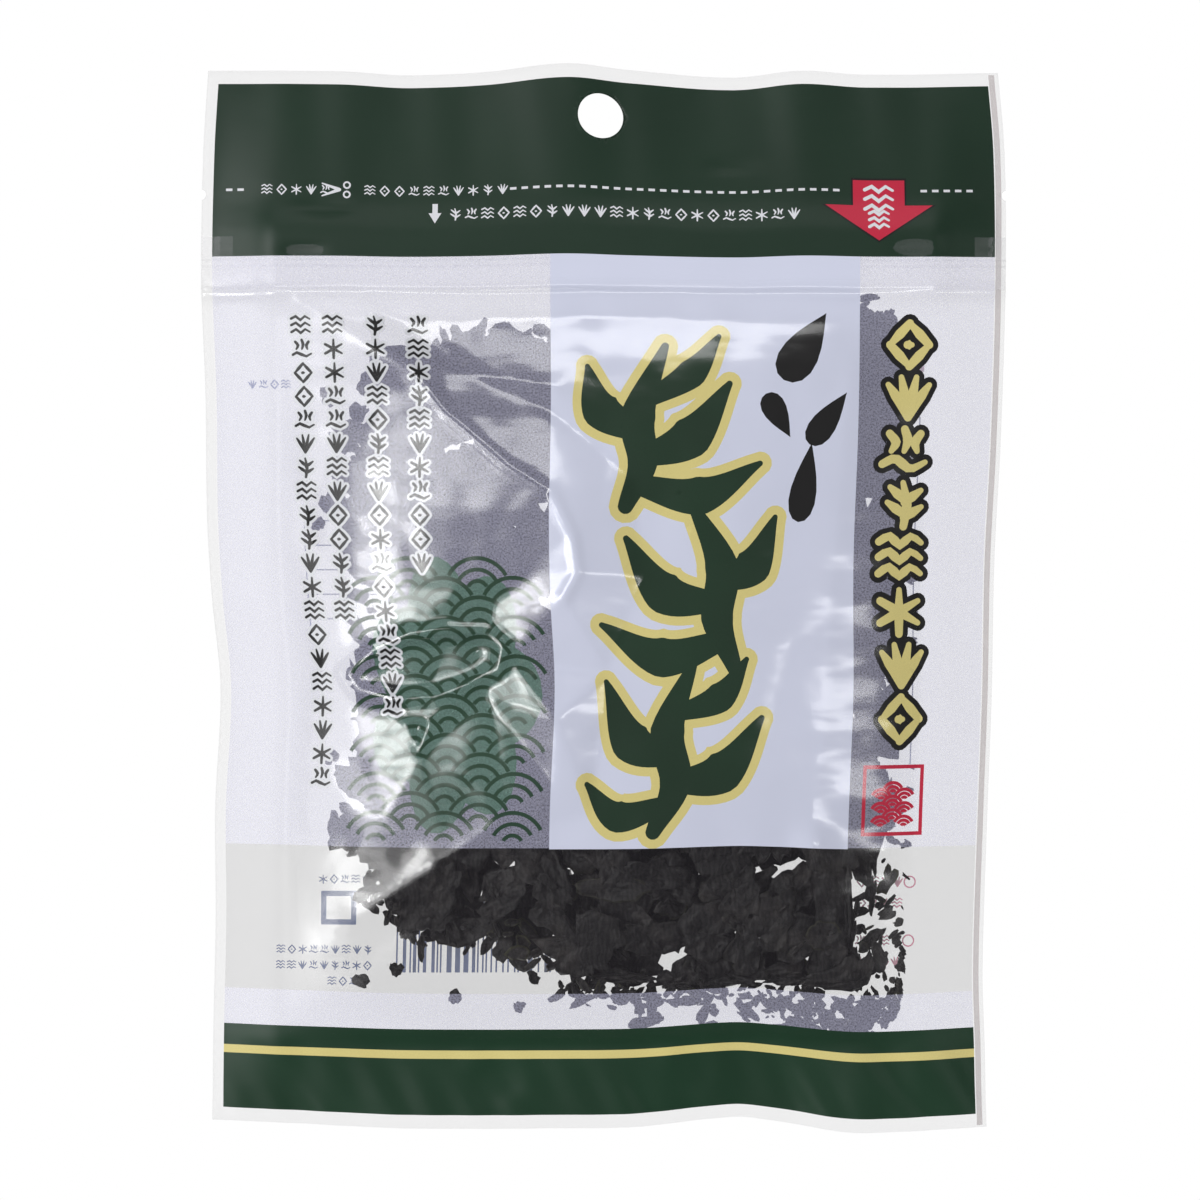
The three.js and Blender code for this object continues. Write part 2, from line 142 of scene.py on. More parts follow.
# The wakame: the outline that it lies in, and the rules for its large flakes.
BED_CENTRE = (6.0, -13.0)
BED_OUTLINE = np.array([
    (58.5, 0), (59, 28), (56, 50), (49.6, 54.5), (36.6, 51.8), (18, 53.5), (-0.6, 52.7),
    (-10.9, 49), (-19.3, 52.2), (-29.5, 53.3), (-34, 49), (-40.7, 42.5), (-47.2, 29.5),
    (-48.1, 7.2), (-46.8, -18.9), (-48.1, -43.1), (-43, -55.2), (-37.9, -61.7), (-27.6, -63),
    (-19.3, -61.7), (-11.8, -66.3), (-7.2, -72), (4, -76.2), (18, -77.5), (36.6, -78.5),
    (55, -79.5), (58.5, -71.9), (58, -56.1), (58.5, -28.2),
])
BED_CLEAR, LEAST_ROOM = 0.35, 0.3
FLAKE_CORNERS, FLAKE_REACH, FLAKE_LONGEST, FLAKE_TILT, FLAKE_CURL = 6, (0.6, 1.1), 1.5, 0.16, 0.12
JITTER = 4
LAYERS = [  # spacing, radius from and to, level from and to
    (15.0, (7.0, 10.5), (0.04, 0.22)),
    (11.5, (5.6, 9.2), (0.76, 0.97)),
]
EDGE_INSET = 3.5
RANDOM_START = 20231
HEAP_SIDE, SIDE_WIDENS, HEAP_FOOT, HEAP_TOP, TOP_RISES = 50, 5, -70.5, 46, 40
LOOSE_FLAKES = [  # place, radius, turn
    ((-39.5, -69.5), 1.5, 75), ((-15.5, -76.5), 1.4, 60), ((-51.5, 38), 2.2, 130),
    ((-53, -30), 1.9, 10), ((-28, -75), 1.7, 100), ((-53.5, 14), 1.6, 40), ((-46, -72), 2, 155),
]


def mix(a, b, share):
    """From a to b by a share."""
    return a + (b - a) * share


def smooth(x, low, high):
    """0 below low, 1 above high, and a smooth step between."""
    u = np.clip((x - low) / (high - low), 0, 1)
    return u * u * (3 - 2 * u)


def curve_at(points, x):
    """A smooth curve through points: a cubic in each span, each slope the one between its neighbours."""
    at, value = np.array(points, float).T
    slope = np.zeros_like(value)
    slope[1:-1] = (value[2:] - value[:-2]) / (at[2:] - at[:-2])
    slope[0] = (value[1] - value[0]) / (at[1] - at[0])
    slope[-1] = (value[-1] - value[-2]) / (at[-1] - at[-2])
    i = np.clip(np.searchsorted(at, x) - 1, 0, len(at) - 2)
    span = at[i + 1] - at[i]
    u = np.clip((x - at[i]) / span, 0, 1)
    rise, start, end = value[i + 1] - value[i], slope[i] * span, slope[i + 1] * span
    return value[i] + u * (start + u * (3 * rise - 2 * start - end + u * (start + end - 2 * rise)))


def waves(s, t, seed, count, shortest, longest):
    """A sum of plane waves in seeded directions, phases and lengths, from about -1 to 1."""
    rng = np.random.default_rng(seed)
    angle, phase = rng.uniform(0, 2 * np.pi, (2, count))
    length = rng.uniform(shortest, longest, count)
    along = s[..., None] * np.cos(angle) + t[..., None] * np.sin(angle)
    return np.sin(2 * np.pi * along / length + phase).sum(-1) * (1.4 / math.sqrt(count))


def header_share(t):
    """0 up to the zip's tape, and 1 at the top edge."""
    return np.clip((t - ZIP_TOP) / (HEIGHT / 2 - ZIP_TOP), 0, 1)


def foot_share(t):
    """0 down to the foot seal, and 1 at the bottom edge."""
    return np.clip((CAVITY_LOW - t) / BOTTOM_SEAL, 0, 1)


def meeting_height(s, t):
    """Height of the plane where the films meet: it droops outside the cavity, and the ends wave."""
    side = smooth(np.abs(s), CAVITY_HALF, WIDTH / 2)
    header, foot = header_share(t), foot_share(t)
    top_wave = curve_at(TOP_EDGE, s) - 98.1
    bottom_wave = -98.2 - curve_at(BOTTOM_EDGE, s)
    return (
        SEAL_LIFT
        - SIDE_DROP * side * (1 - header) * (1 - foot)
        - HEADER_DROP * header**1.3
        - FOOT_DROP * foot
        + WAVE_LIFT * (top_wave * header + bottom_wave * foot)
    )


def plan_of(s, t):
    """Place in plan: the flat sheet stretched between its four bent edges."""
    x = mix(curve_at(LEFT_EDGE, t), curve_at(RIGHT_EDGE, t), (s + WIDTH / 2) / WIDTH)
    up = ((t + HEIGHT / 2) / HEIGHT) ** 6
    down = ((HEIGHT / 2 - t) / HEIGHT) ** 4
    lift = (curve_at(TOP_EDGE, s) - HEIGHT / 2) * up + (curve_at(BOTTOM_EDGE, s) + HEIGHT / 2) * down
    return x, t + lift


def pillow(s, t):
    """From 0 on the seals to 1 in the middle: the product of a fall across and a fall along, each of
    them one less a power of the share of the way out."""
    middle = (CAVITY_HIGH + CAVITY_LOW) / 2
    a = np.clip(np.abs(s) / CAVITY_HALF, 0, 1)
    b = np.clip(np.abs(t - middle) / (CAVITY_HIGH - middle), 0, 1)
    return (1 - a**2.4) ** 0.85 * (1 - b**2.6) ** 0.85


def folds(s, t, crest):
    """Ridges along FOLDS, each a bell curve of the distance off the fold, mixed by crest with a
    sharper fall."""
    height = 0
    for (s0, t0), (s1, t1), rise, spread in FOLDS:
        length = math.hypot(s1 - s0, t1 - t0)
        along = ((s - s0) * (s1 - s0) + (t - t0) * (t1 - t0)) / length
        off = ((s - s0) * (t1 - t0) - (t - t0) * (s1 - s0)) / length
        past = np.maximum(np.maximum(-along, along - length), 0)
        swell = np.exp(-(off**2 + past**2) / spread**2)
        line = np.exp(-np.hypot(off, past) / (0.3 * spread))
        height = height + rise * ((1 - crest) * swell + crest * line)
    return height * smooth(pillow(s, t), 0, 0.5)


def facets(s, t):
    """Height over flat facets between the facet points, rounded by averaging nearby places."""
    corners = list(dict.fromkeys(FACET_POINTS + [p for run in FACET_RUNS for p in run]))
    creases = [(corners.index(a), corners.index(b)) for run in FACET_RUNS for a, b in zip(run, run[1:])]
    places = [Vector(p[:2]) for p in corners]
    triangles = np.array(delaunay_2d_cdt(places, creases, [], 0, 1e-6)[2])
    assert triangles.max() < len(corners), "creases cross"
    height = np.zeros(s.shape)
    around = np.linspace(0, 2 * np.pi, 6, endpoint=False)
    steps = [(0.0, 0.0)] + [(FACET_ROUNDING * math.cos(a), FACET_ROUNDING * math.sin(a)) for a in around]
    for step_s, step_t in steps:
        x, y = s + step_s, t + step_t
        found = np.zeros(s.shape, bool)
        for (ax, ay, az), (bx, by, bz), (cx, cy, cz) in np.array(corners)[triangles]:
            area = (bx - ax) * (cy - ay) - (by - ay) * (cx - ax)
            share_b = ((x - ax) * (cy - ay) - (y - ay) * (cx - ax)) / area
            share_c = ((bx - ax) * (y - ay) - (by - ay) * (x - ax)) / area
            here = (share_b >= 0) & (share_c >= 0) & (share_b + share_c <= 1) & ~found
            height += np.where(here, az + share_b * (bz - az) + share_c * (cz - az), 0) / len(steps)
            found |= here
    return height


def lips(s, t):
    """The ridges along LIPS: for each run, a bell curve of the distance to its nearest side."""
    height = 0
    for rise, half, run in LIPS:
        nearest = np.full(s.shape, 99.0)
        for (s0, t0), (s1, t1) in zip(run, run[1:]):
            share = ((s - s0) * (s1 - s0) + (t - t0) * (t1 - t0)) / ((s1 - s0) ** 2 + (t1 - t0) ** 2)
            share = np.clip(share, 0, 1)
            nearest = np.minimum(nearest, np.hypot(s - mix(s0, s1, share), t - mix(t0, t1, share)))
        height = height + rise * np.exp(-((nearest / half) ** 2))
    return height


def dents(s, t):
    """Small oval hollows, each a flat-topped bell curve of the distance from its middle."""
    height = np.zeros(s.shape)
    for (s0, t0), (half_s, half_t), depth in DENTS:
        away = ((s - s0) / half_s) ** 2 + ((t - t0) / half_t) ** 2
        height -= depth * np.exp(-(away**2))
    return height


def zip_opening(s, t):
    """Half the distance between the films round the closed zip, crushed flat in the side seals."""
    crush = 1 - 0.6 * smooth(np.abs(s), CAVITY_HALF, CAVITY_HALF + 5)
    above = 1 - smooth(t, ZIP_TOP, HEIGHT / 2 - TOP_SEAL)
    below = smooth(t, CAVITY_HIGH - 6, CAVITY_HIGH - 1)
    return (ZIP_BETWEEN / 2 + ZIP_THICKNESS + ZIP_CLEAR) * crush * above * below


def slack(s, t):
    """Where the film is free of its neighbours, from 0 in the seals to 1 in the cavity."""
    return smooth(pillow(s, t), 0, 0.25)


def seal_ripples(s, t):
    """Soft pleats across the header and the foot, where the seals shrank: waves that grow outwards."""
    ends = 0.3 * foot_share(t) ** 0.5 + 0.12 * header_share(t)
    slanting = 0.3 * foot_share(t) ** 0.5 * waves(s + 0.7 * t, t * 0.1, 33, 7, 7, 14)
    return ends * waves(s, t * 0.22, 21, 10, 8, 21) + slanting


def zip_crease(s, t):
    """A thin ridge across the film, a bell curve about the lower edge of the zip's tape."""
    off = t - ZIP_CREASE - 0.3 * np.sin(s / 9)
    return 0.6 * np.exp(-(off**2))


def front_creases(s, t):
    """Fine shape of the front film: slow buckles and faint prints of the flakes, as sums of waves, and
    puckers that fade with the distance from the seals."""
    over_flakes = 0.03 * waves(s, t, 3, 26, 6, 14)
    buckles = 0.1 * np.abs(waves(s, t * 0.6, 5, 12, 16, 34)) - 0.05
    off_side = np.exp(-(CAVITY_HALF - np.abs(s)) / 8) * waves(s * 0.12, t, 7, 9, 6, 15)
    off_end = np.exp(-np.minimum(CAVITY_HIGH - t, t - CAVITY_LOW).clip(0) / 9)
    off_end = off_end * waves(s, t * 0.12, 9, 9, 7, 17)
    return slack(s, t) * (over_flakes + buckles + 0.16 * off_side + 0.16 * off_end)


def front_inside(s, t):
    """The front film's inner face: where the films meet, half the opening, and the creases."""
    opening = WELD_GAP / 2 + zip_opening(s, t) + FRONT_BULGE * pillow(s, t)
    crumpled = folds(s, t, 0.35) + facets(s, t) + lips(s, t) + front_creases(s, t)
    return meeting_height(s, t) + seal_ripples(s, t) + opening + crumpled + dents(s, t) + zip_crease(s, t)


def back_outside(s, t):
    """The back film's outer face: it hangs below the seals until the floor flattens it."""
    belly = pillow(s, t)
    opening = WELD_GAP / 2 + zip_opening(s, t) + BACK_BULGE * belly
    free = meeting_height(s, t) + seal_ripples(s, t) + dents(s, t) - opening - FILM
    rounded = (free + FLOOR_ROUND) ** 2 / (4 * FLOOR_ROUND)
    touching = np.where(free < -FLOOR_ROUND, 0.0, rounded)
    return np.where((belly == 0) | (free > FLOOR_ROUND), free, touching)


def back_inside(s, t):
    """The back film's inner face, a film's thickness above its outer one."""
    return back_outside(s, t) + FILM


def shift_to_cad():
    """What moves the bent sheet's middle to that of the front film in the frame."""
    edge_s = np.linspace(-WIDTH / 2, WIDTH / 2, 601)
    edge_t = np.linspace(-HEIGHT / 2, HEIGHT / 2, 801)
    x = np.concatenate([plan_of(edge * WIDTH / 2 + 0 * edge_t, edge_t)[0] for edge in (-1, 1)])
    y = np.concatenate([plan_of(edge_s, edge * HEIGHT / 2 + 0 * edge_s)[1] for edge in (-1, 1)])
    low, high = np.array(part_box("front_film")) / MM
    return (low[0] + high[0] - x.min() - x.max()) / 2, (low[1] + high[1] - y.min() - y.max()) / 2


SHIFT_X, SHIFT_Y = shift_to_cad()


def bent(s, t, z):
    """Points of the bent pouch in metres, from flat places and heights in millimetres."""
    x, y = plan_of(s, t)
    return np.stack([x + SHIFT_X, y + SHIFT_Y, z], -1) * MM


# Node groups and materials

MESH_PITCH, MESH_HEIGHT, RIPPLE_HEIGHT = 0.62, 0.02, 0.12
FILM_ROUGHNESS, SEAL_ROUGHNESS = 0.11, 0.2
FRESNEL_GAIN, FILM_HAZE, SEAL_DULLING = 1.6, 0.012, 0.75


def link(tree, source, target):
    """Joins an output to an input."""
    tree.links.new(source, target)


def node(tree, kind, **values):
    """A node with its inputs set by name, where _ stands for a space, and its own settings."""
    made = tree.nodes.new(kind)
    for name, value in values.items():
        if hasattr(made, name):
            setattr(made, name, value)
        else:
            made.inputs[name.replace("_", " ")].default_value = value
    return made


def math_node(tree, operation, *values, clamp=False):
    """A math node, each of whose values is a number or the output of another node."""
    made = tree.nodes.new("ShaderNodeMath")
    made.operation = operation
    made.use_clamp = clamp
    for socket, value in zip(made.inputs, values):
        if isinstance(value, bpy.types.NodeSocket):
            link(tree, value, socket)
        else:
            socket.default_value = value
    return made.outputs[0]


def colour_mix(tree, share, first, second, blend="MIX"):
    """A mix of two colours, where each value is a constant or the output of another node."""
    made = tree.nodes.new("ShaderNodeMix")
    made.data_type = "RGBA"
    made.blend_type = blend
    for socket, value in zip((made.inputs[0], made.inputs[6], made.inputs[7]), (share, first, second)):
        if isinstance(value, bpy.types.NodeSocket):
            link(tree, value, socket)
        else:
            socket.default_value = value
    return made.outputs[2]


def ramp(tree, value, stops):
    """A colour ramp through (place, colour or grey) stops."""
    made = tree.nodes.new("ShaderNodeValToRGB")
    elements = made.color_ramp.elements
    while len(elements) < len(stops):
        elements.new(0.5)
    for element, (place, colour) in zip(elements, stops):
        element.position = place
        element.color = (*colour, 1) if isinstance(colour, tuple) else (colour, colour, colour, 1)
    link(tree, value, made.inputs[0])
    return made.outputs[0]


def group(name, inputs, outputs, build):
    """A shader node group: inputs and outputs are (name, socket kind, default) rows."""
    tree = bpy.data.node_groups.new(name, "ShaderNodeTree")
    for direction, rows in (("INPUT", inputs), ("OUTPUT", outputs)):
        for row in rows:
            socket = tree.interface.new_socket(row[0], in_out=direction, socket_type="NodeSocket" + row[1])
            if len(row) > 2:
                socket.default_value = row[2]
    start = tree.nodes.new("NodeGroupInput")
    end = tree.nodes.new("NodeGroupOutput")
    build(tree, start.outputs, end.inputs)
    return tree


def use_group(tree, shared, **values):
    """Places a node group with its inputs set by name, and gives its outputs."""
    made = tree.nodes.new("ShaderNodeGroup")
    made.node_tree = shared
    for name, value in values.items():
        socket = made.inputs[name.replace("_", " ")]
        if isinstance(value, bpy.types.NodeSocket):
            link(tree, value, socket)
        else:
            socket.default_value = value
    return made.outputs


def flat_place(tree):
    """The flat place on the film in millimetres, from its UV map, whose unit is the sheet's height."""
    uv = node(tree, "ShaderNodeUVMap", uv_map="flat")
    mapping = node(tree, "ShaderNodeMapping", Scale=(HEIGHT, HEIGHT, HEIGHT))
    link(tree, uv.outputs[0], mapping.inputs[0])
    return mapping.outputs[0]


def build_film_relief(tree, inputs, outputs):
    """Fine relief of the film: a pressed mesh where it is sealed, and soft ripples elsewhere."""
    place = flat_place(tree)
    split = node(tree, "ShaderNodeSeparateXYZ")
    link(tree, place, split.inputs[0])
    seal = node(tree, "ShaderNodeAttribute", attribute_name="seal").outputs["Fac"]
    across, up = (
        math_node(tree, "SINE", math_node(tree, "MULTIPLY", split.outputs[axis], 2 * math.pi / MESH_PITCH))
        for axis in (0, 1)
    )
    pressed = math_node(tree, "MULTIPLY", math_node(tree, "MULTIPLY", across, up), seal)
    stretch = node(tree, "ShaderNodeMapping", Scale=(0.13, 0.3, 1.0))
    link(tree, place, stretch.inputs[0])
    ripple = node(tree, "ShaderNodeTexNoise", Scale=1.0, Detail=1.0, Roughness=0.5)
    link(tree, stretch.outputs[0], ripple.inputs["Vector"])
    soft = math_node(tree, "MULTIPLY", ripple.outputs[0], RIPPLE_HEIGHT)
    height = math_node(tree, "MULTIPLY_ADD", pressed, MESH_HEIGHT, soft)
    bump = node(tree, "ShaderNodeBump", Distance=MM)
    link(tree, inputs["Strength"], bump.inputs["Strength"])
    link(tree, height, bump.inputs["Height"])
    link(tree, bump.outputs[0], outputs["Normal"])
    even = math_node(tree, "MULTIPLY_ADD", seal, SEAL_ROUGHNESS, FILM_ROUGHNESS)
    link(tree, math_node(tree, "MULTIPLY_ADD", ripple.outputs[0], 0.05, even), outputs["Roughness"])


def build_ink_grain(tree, inputs, outputs):
    """Ink on film: fine grain and slow mottling of its colour, and the same grain for its cover."""
    place = flat_place(tree)
    fine = node(tree, "ShaderNodeTexNoise", Scale=2.8, Detail=1.0, Roughness=0.7)
    link(tree, place, fine.inputs["Vector"])
    slow = node(tree, "ShaderNodeTexNoise", Scale=0.06, Detail=0.0)
    link(tree, place, slow.inputs["Vector"])
    centred = math_node(tree, "SUBTRACT", fine.outputs[0], 0.5)
    grain = math_node(tree, "MULTIPLY", centred, inputs["Grain"])
    drift = math_node(tree, "MULTIPLY", math_node(tree, "SUBTRACT", slow.outputs[0], 0.5), inputs["Mottle"])
    level = math_node(tree, "ADD", math_node(tree, "ADD", grain, drift), 1.0)
    tint = node(tree, "ShaderNodeVectorMath", operation="SCALE")
    link(tree, inputs["Colour"], tint.inputs[0])
    link(tree, level, tint.inputs["Scale"])
    link(tree, tint.outputs[0], outputs["Colour"])
    cover = math_node(tree, "MULTIPLY", centred, inputs["Cover grain"])
    link(tree, math_node(tree, "ADD", cover, inputs["Cover"], clamp=True), outputs["Cover"])


def build_dried_leaf(tree, inputs, outputs):
    """Dried leaf: green-black with brown patches, a fine crinkle with painted shade in its hollows and
    painted highlight on its crests, and painted light through the thin rim, in olive.
    """
    coordinates = node(tree, "ShaderNodeTexCoord").outputs["Object"]
    mapping = node(tree, "ShaderNodeMapping", Scale=(1000.0, 1000.0, 1000.0))
    link(tree, coordinates, mapping.inputs[0])
    patches = node(tree, "ShaderNodeTexNoise", Scale=0.13, Detail=2.0, Roughness=0.65)
    crinkle = node(tree, "ShaderNodeTexNoise", Scale=0.6, Detail=3.0, Roughness=0.62)
    veins = node(tree, "ShaderNodeTexWave", Scale=0.35, Distortion=9.0, Detail=1.0)
    for texture in (patches, crinkle, veins):
        link(tree, mapping.outputs[0], texture.inputs["Vector"])
    base = ramp(tree, patches.outputs[0], [
        (0.3, (0.006, 0.006, 0.007)), (0.5, (0.016, 0.015, 0.016)), (0.72, (0.044, 0.039, 0.037)),
    ])
    tone = node(tree, "ShaderNodeAttribute", attribute_name="tone").outputs["Fac"]
    rim = node(tree, "ShaderNodeAttribute", attribute_name="rim").outputs["Fac"]
    toned = colour_mix(tree, tone, base, (0.040, 0.037, 0.035, 1.0))
    vein_share = math_node(tree, "MULTIPLY", veins.outputs[1], 0.2)
    lined = colour_mix(tree, vein_share, toned, (0.09, 0.085, 0.08, 1.0))
    # Painted shade and highlight: the colour is darker in the crinkle's hollows and lighter on its crests,
    # following the bump's height.
    shade = ramp(tree, crinkle.outputs[0], [(0.35, 0.55), (0.65, 1.3)])
    shaded = colour_mix(tree, 1.0, lined, shade, "MULTIPLY")
    # Painted light through the thin rim: the colour goes to olive where the rim attribute is high.
    link(tree, colour_mix(tree, rim, shaded, inputs["Rim"]), outputs["Colour"])
    link(tree, ramp(tree, crinkle.outputs[0], [(0.3, 0.38), (0.7, 0.62)]), outputs["Roughness"])
    bump = node(tree, "ShaderNodeBump", Strength=0.9, Distance=0.0006)
    link(tree, crinkle.outputs[0], bump.inputs["Height"])
    link(tree, bump.outputs[0], outputs["Normal"])


film_relief = group(
    "film_relief", [("Strength", "Float", 1.0)],
    [("Normal", "Vector"), ("Roughness", "Float")], build_film_relief,
)
ink_grain = group(
    "ink_grain",
    [("Colour", "Color", (1, 1, 1, 1)), ("Grain", "Float", 0.1), ("Mottle", "Float", 0.1),
     ("Cover", "Float", 1.0), ("Cover grain", "Float", 0.0)],
    [("Colour", "Color"), ("Cover", "Float")], build_ink_grain,
)
# The leaf's Rim input is the colour of painted light shining through its thin edges.
dried_leaf = group(
    "dried_leaf", [("Rim", "Color", (0.2, 0.21, 0.06, 1.0))],
    [("Colour", "Color"), ("Roughness", "Float"), ("Normal", "Vector")], build_dried_leaf,
)


def new_material(name, **values):
    """A material with one Principled BSDF, its sockets set by name."""
    made = bpy.data.materials.new(name)
    made.use_nodes = True
    principled = made.node_tree.nodes["Principled BSDF"]
    for key, value in values.items():
        principled.inputs[key.replace("_", " ")].default_value = value
    return made, made.node_tree, principled


def let_light_by(tree, principled, share, seen=()):
    """Lets a plain share of the light through for shadow rays, and where a given mask is seen."""
    path = tree.nodes.new("ShaderNodeLightPath")
    plain = node(tree, "ShaderNodeBsdfTransparent", Color=(share, share, share, 1.0))
    pick = tree.nodes.new("ShaderNodeMixShader")
    mask = path.outputs["Is Shadow Ray"]
    for other in seen:
        mask = math_node(tree, "MAXIMUM", mask, other)
    link(tree, mask, pick.inputs[0])
    link(tree, principled.outputs[0], pick.inputs[1])
    link(tree, plain.outputs[0], pick.inputs[2])
    link(tree, pick.outputs[0], tree.nodes["Material Output"].inputs["Surface"])


def gloss_material(name, relief):
    """Clear film: it lets light straight through but for its gloss, which Fresnel's share sets."""
    made, tree, principled = new_material(name, Base_Color=(1, 1, 1, 1), Metallic=1.0)
    surface = use_group(tree, film_relief, Strength=relief)
    fresnel = node(tree, "ShaderNodeFresnel", IOR=1.52)
    link(tree, surface["Normal"], principled.inputs["Normal"])
    link(tree, surface["Normal"], fresnel.inputs["Normal"])
    link(tree, surface["Roughness"], principled.inputs["Roughness"])
    seal = node(tree, "ShaderNodeAttribute", attribute_name="seal").outputs["Fac"]
    gain = math_node(tree, "MULTIPLY_ADD", seal, -SEAL_DULLING * FRESNEL_GAIN, FRESNEL_GAIN)
    share = math_node(tree, "MULTIPLY", math_node(tree, "ADD", fresnel.outputs[0], FILM_HAZE), gain)
    link(tree, share, principled.inputs["Alpha"])
    from_behind = tree.nodes.new("ShaderNodeNewGeometry").outputs["Backfacing"]
    let_light_by(tree, principled, 0.97, [from_behind])
    return made


def ink_material(name, colour, cover=1.0, grain=0.12, mottle=0.12, cover_grain=0.0):
    """Ink printed on the film's inner face: matt, with grain in its colour and in its cover."""
    made, tree, principled = new_material(name, Roughness=0.6, IOR=1.4)
    made_ink = use_group(
        tree, ink_grain, Colour=(*colour, 1.0), Grain=grain, Mottle=mottle, Cover=cover,
        Cover_grain=cover_grain,
    )
    link(tree, made_ink["Colour"], principled.inputs["Base Color"])
    link(tree, made_ink["Cover"], principled.inputs["Alpha"])
    let_light_by(tree, principled, 1 - cover)
    return made


def leaf_material(name, rim):
    """Dried leaf with a given colour for the painted light shining through its thin rims."""
    made, tree, principled = new_material(name, IOR=1.45)
    leaf = use_group(tree, dried_leaf, Rim=(*rim, 1.0))
    link(tree, leaf["Colour"], principled.inputs["Base Color"])
    link(tree, leaf["Roughness"], principled.inputs["Roughness"])
    link(tree, leaf["Normal"], principled.inputs["Normal"])
    return made


# Outlines of the print, in the flat sheet


def circle(centre, radius, count):
    """A circle as a closed outline of count points."""
    angle = np.linspace(0, 2 * np.pi, count, endpoint=False)
    return np.stack([centre[0] + radius * np.cos(angle), centre[1] + radius * np.sin(angle)], 1)


def along(points, step):
    """A closed outline with points added so that no side is longer than step."""
    points = np.asarray(points, float)

    def side(a, b):
        count = max(1, math.ceil(np.linalg.norm(b - a) / step))
        return mix(a, b, np.linspace(0, 1, count, endpoint=False)[:, None])

    return np.concatenate([side(a, b) for a, b in zip(points, np.roll(points, -1, 0))])


def anticlockwise(outline):
    """The outline, turned round if it runs clockwise: the triangulation fills to the left of it."""
    x, y = np.asarray(outline, float).T
    return outline if np.sum(x * np.roll(y, -1) - y * np.roll(x, -1)) > 0 else outline[::-1]


def box_outline(left, right, low, high, step=1.0):
    """A box as a closed outline, with points no further apart than step."""
    return along([(left, low), (right, low), (right, high), (left, high)], step)


def spline(points, count):
    """Points along a smooth curve through the given ones (Catmull-Rom)."""
    points = np.asarray(points, float)
    padded = np.vstack([2 * points[0] - points[1], points, 2 * points[-1] - points[-2]])
    u = np.linspace(0, len(points) - 1, count)
    i = np.minimum(u.astype(int), len(points) - 2)
    f = (u - i)[:, None]
    a, b, c, d = (padded[i + k] for k in range(4))
    return 0.5 * (2 * b + (c - a) * f + (2 * a - 5 * b + 4 * c - d) * f**2 + (3 * b - a - 3 * c + d) * f**3)


def stroke(points, widths, grow=0.0, count=22):
    """A brush stroke: a band along a spline, whose half width runs through widths, with round ends."""
    line = spline(points, count)
    half = np.interp(np.linspace(0, 1, count), np.linspace(0, 1, len(widths)), widths) / 2 + grow
    ahead = np.gradient(line, axis=0)
    ahead /= np.linalg.norm(ahead, axis=1)[:, None]
    side = np.stack([-ahead[:, 1], ahead[:, 0]], 1)

    def cap(centre, direction, radius, start):
        angle = np.linspace(np.pi / 2, -np.pi / 2, 5 if count < 8 else 8)[1:-1, None] * start
        across = np.array([-direction[1], direction[0]])
        return centre + radius * (direction * np.cos(angle) + across * np.sin(angle))

    left, right = line + side * half[:, None], line - side * half[:, None]
    end = cap(line[-1], ahead[-1], half[-1], 1)
    begin = cap(line[0], -ahead[0], half[0], 1)
    return np.concatenate([left, end, right[::-1], begin])


def placed(outline, centre, size=1.0, turn=0.0):
    """An outline scaled, turned by degrees and moved."""
    a = math.radians(turn)
    matrix = np.array([(math.cos(a), math.sin(a)), (-math.sin(a), math.cos(a))])
    return np.asarray(outline) * size @ matrix + centre


# Sprigs of seaweed, as strokes in a box of 36 by 33 mm: (points, widths).
SPRIGS = [
    [
        ([(8, 1), (11, 9), (10, 18), (15, 31)], (2.4, 4.6, 5.4, 1.2)),
        ([(10, 15), (3, 19), (0.5, 27)], (3.5, 6, 0.8)),
        ([(11, 10), (20, 14), (27, 24)], (3, 6.6, 1)),
        ([(10, 5), (22, 3), (33, 9)], (3, 6, 0.9)),
        ([(12, 21), (20, 26), (25, 33)], (2.5, 4.6, 0.8)),
    ],
    [
        ([(27, 1), (24, 10), (25, 20), (19, 32)], (2.4, 5, 5.2, 1.2)),
        ([(25, 17), (31, 20), (35, 29)], (3.2, 5.8, 0.8)),
        ([(24, 13), (14, 15), (7, 25)], (3, 6.6, 1)),
        ([(25, 6), (13, 3), (2, 9)], (3, 6.2, 0.9)),
    ],
    [
        ([(13, 0), (17, 9), (15, 19), (20, 32)], (2.4, 5, 5.4, 1.2)),
        ([(16, 14), (8, 17), (3, 28)], (3.4, 6.4, 0.8)),
        ([(16, 9), (26, 11), (33, 21)], (3, 6.8, 1)),
        ([(15, 5), (6, 3), (0, 9)], (2.6, 5, 0.8)),
        ([(17, 22), (25, 25), (30, 32)], (2.4, 4.8, 0.8)),
    ],
]
SPRIG_PLACES = [(-3.6, 16), (-2.4, -14), (-3.0, -43.5)]
SPRIG_WEIGHT, GOLD_LINE = 1.22, 1.7


def wave_scales(left, low, columns, rows, radius, line):
    """Rows of overlapping round scales, each three arcs, as bands round half circles."""
    bands = []
    for row in range(rows):
        for column in range(columns - row % 2):
            centre = (left + (2 * column + 1 + row % 2) * radius, low + row * radius * 0.55)
            for share in (1, 0.68, 0.36):
                angle = np.linspace(0.16 * np.pi, 0.84 * np.pi, 16)[:, None]
                ring = np.hstack([np.cos(angle), np.sin(angle)])
                outer = centre + radius * share * ring
                inner = centre + (radius * share - line) * ring
                bands.append(np.concatenate([outer, inner[::-1]]))
    return bands


def drop(length, width):
    """A drop, pointed at one end: an oval whose width also follows a power of the half angle's sine."""
    u = np.linspace(0, 2 * np.pi, 18, endpoint=False)
    return np.stack([length / 2 * np.cos(u), width / 2 * np.sin(u) * np.sin(u / 2) ** 1.3 * 1.25], 1)


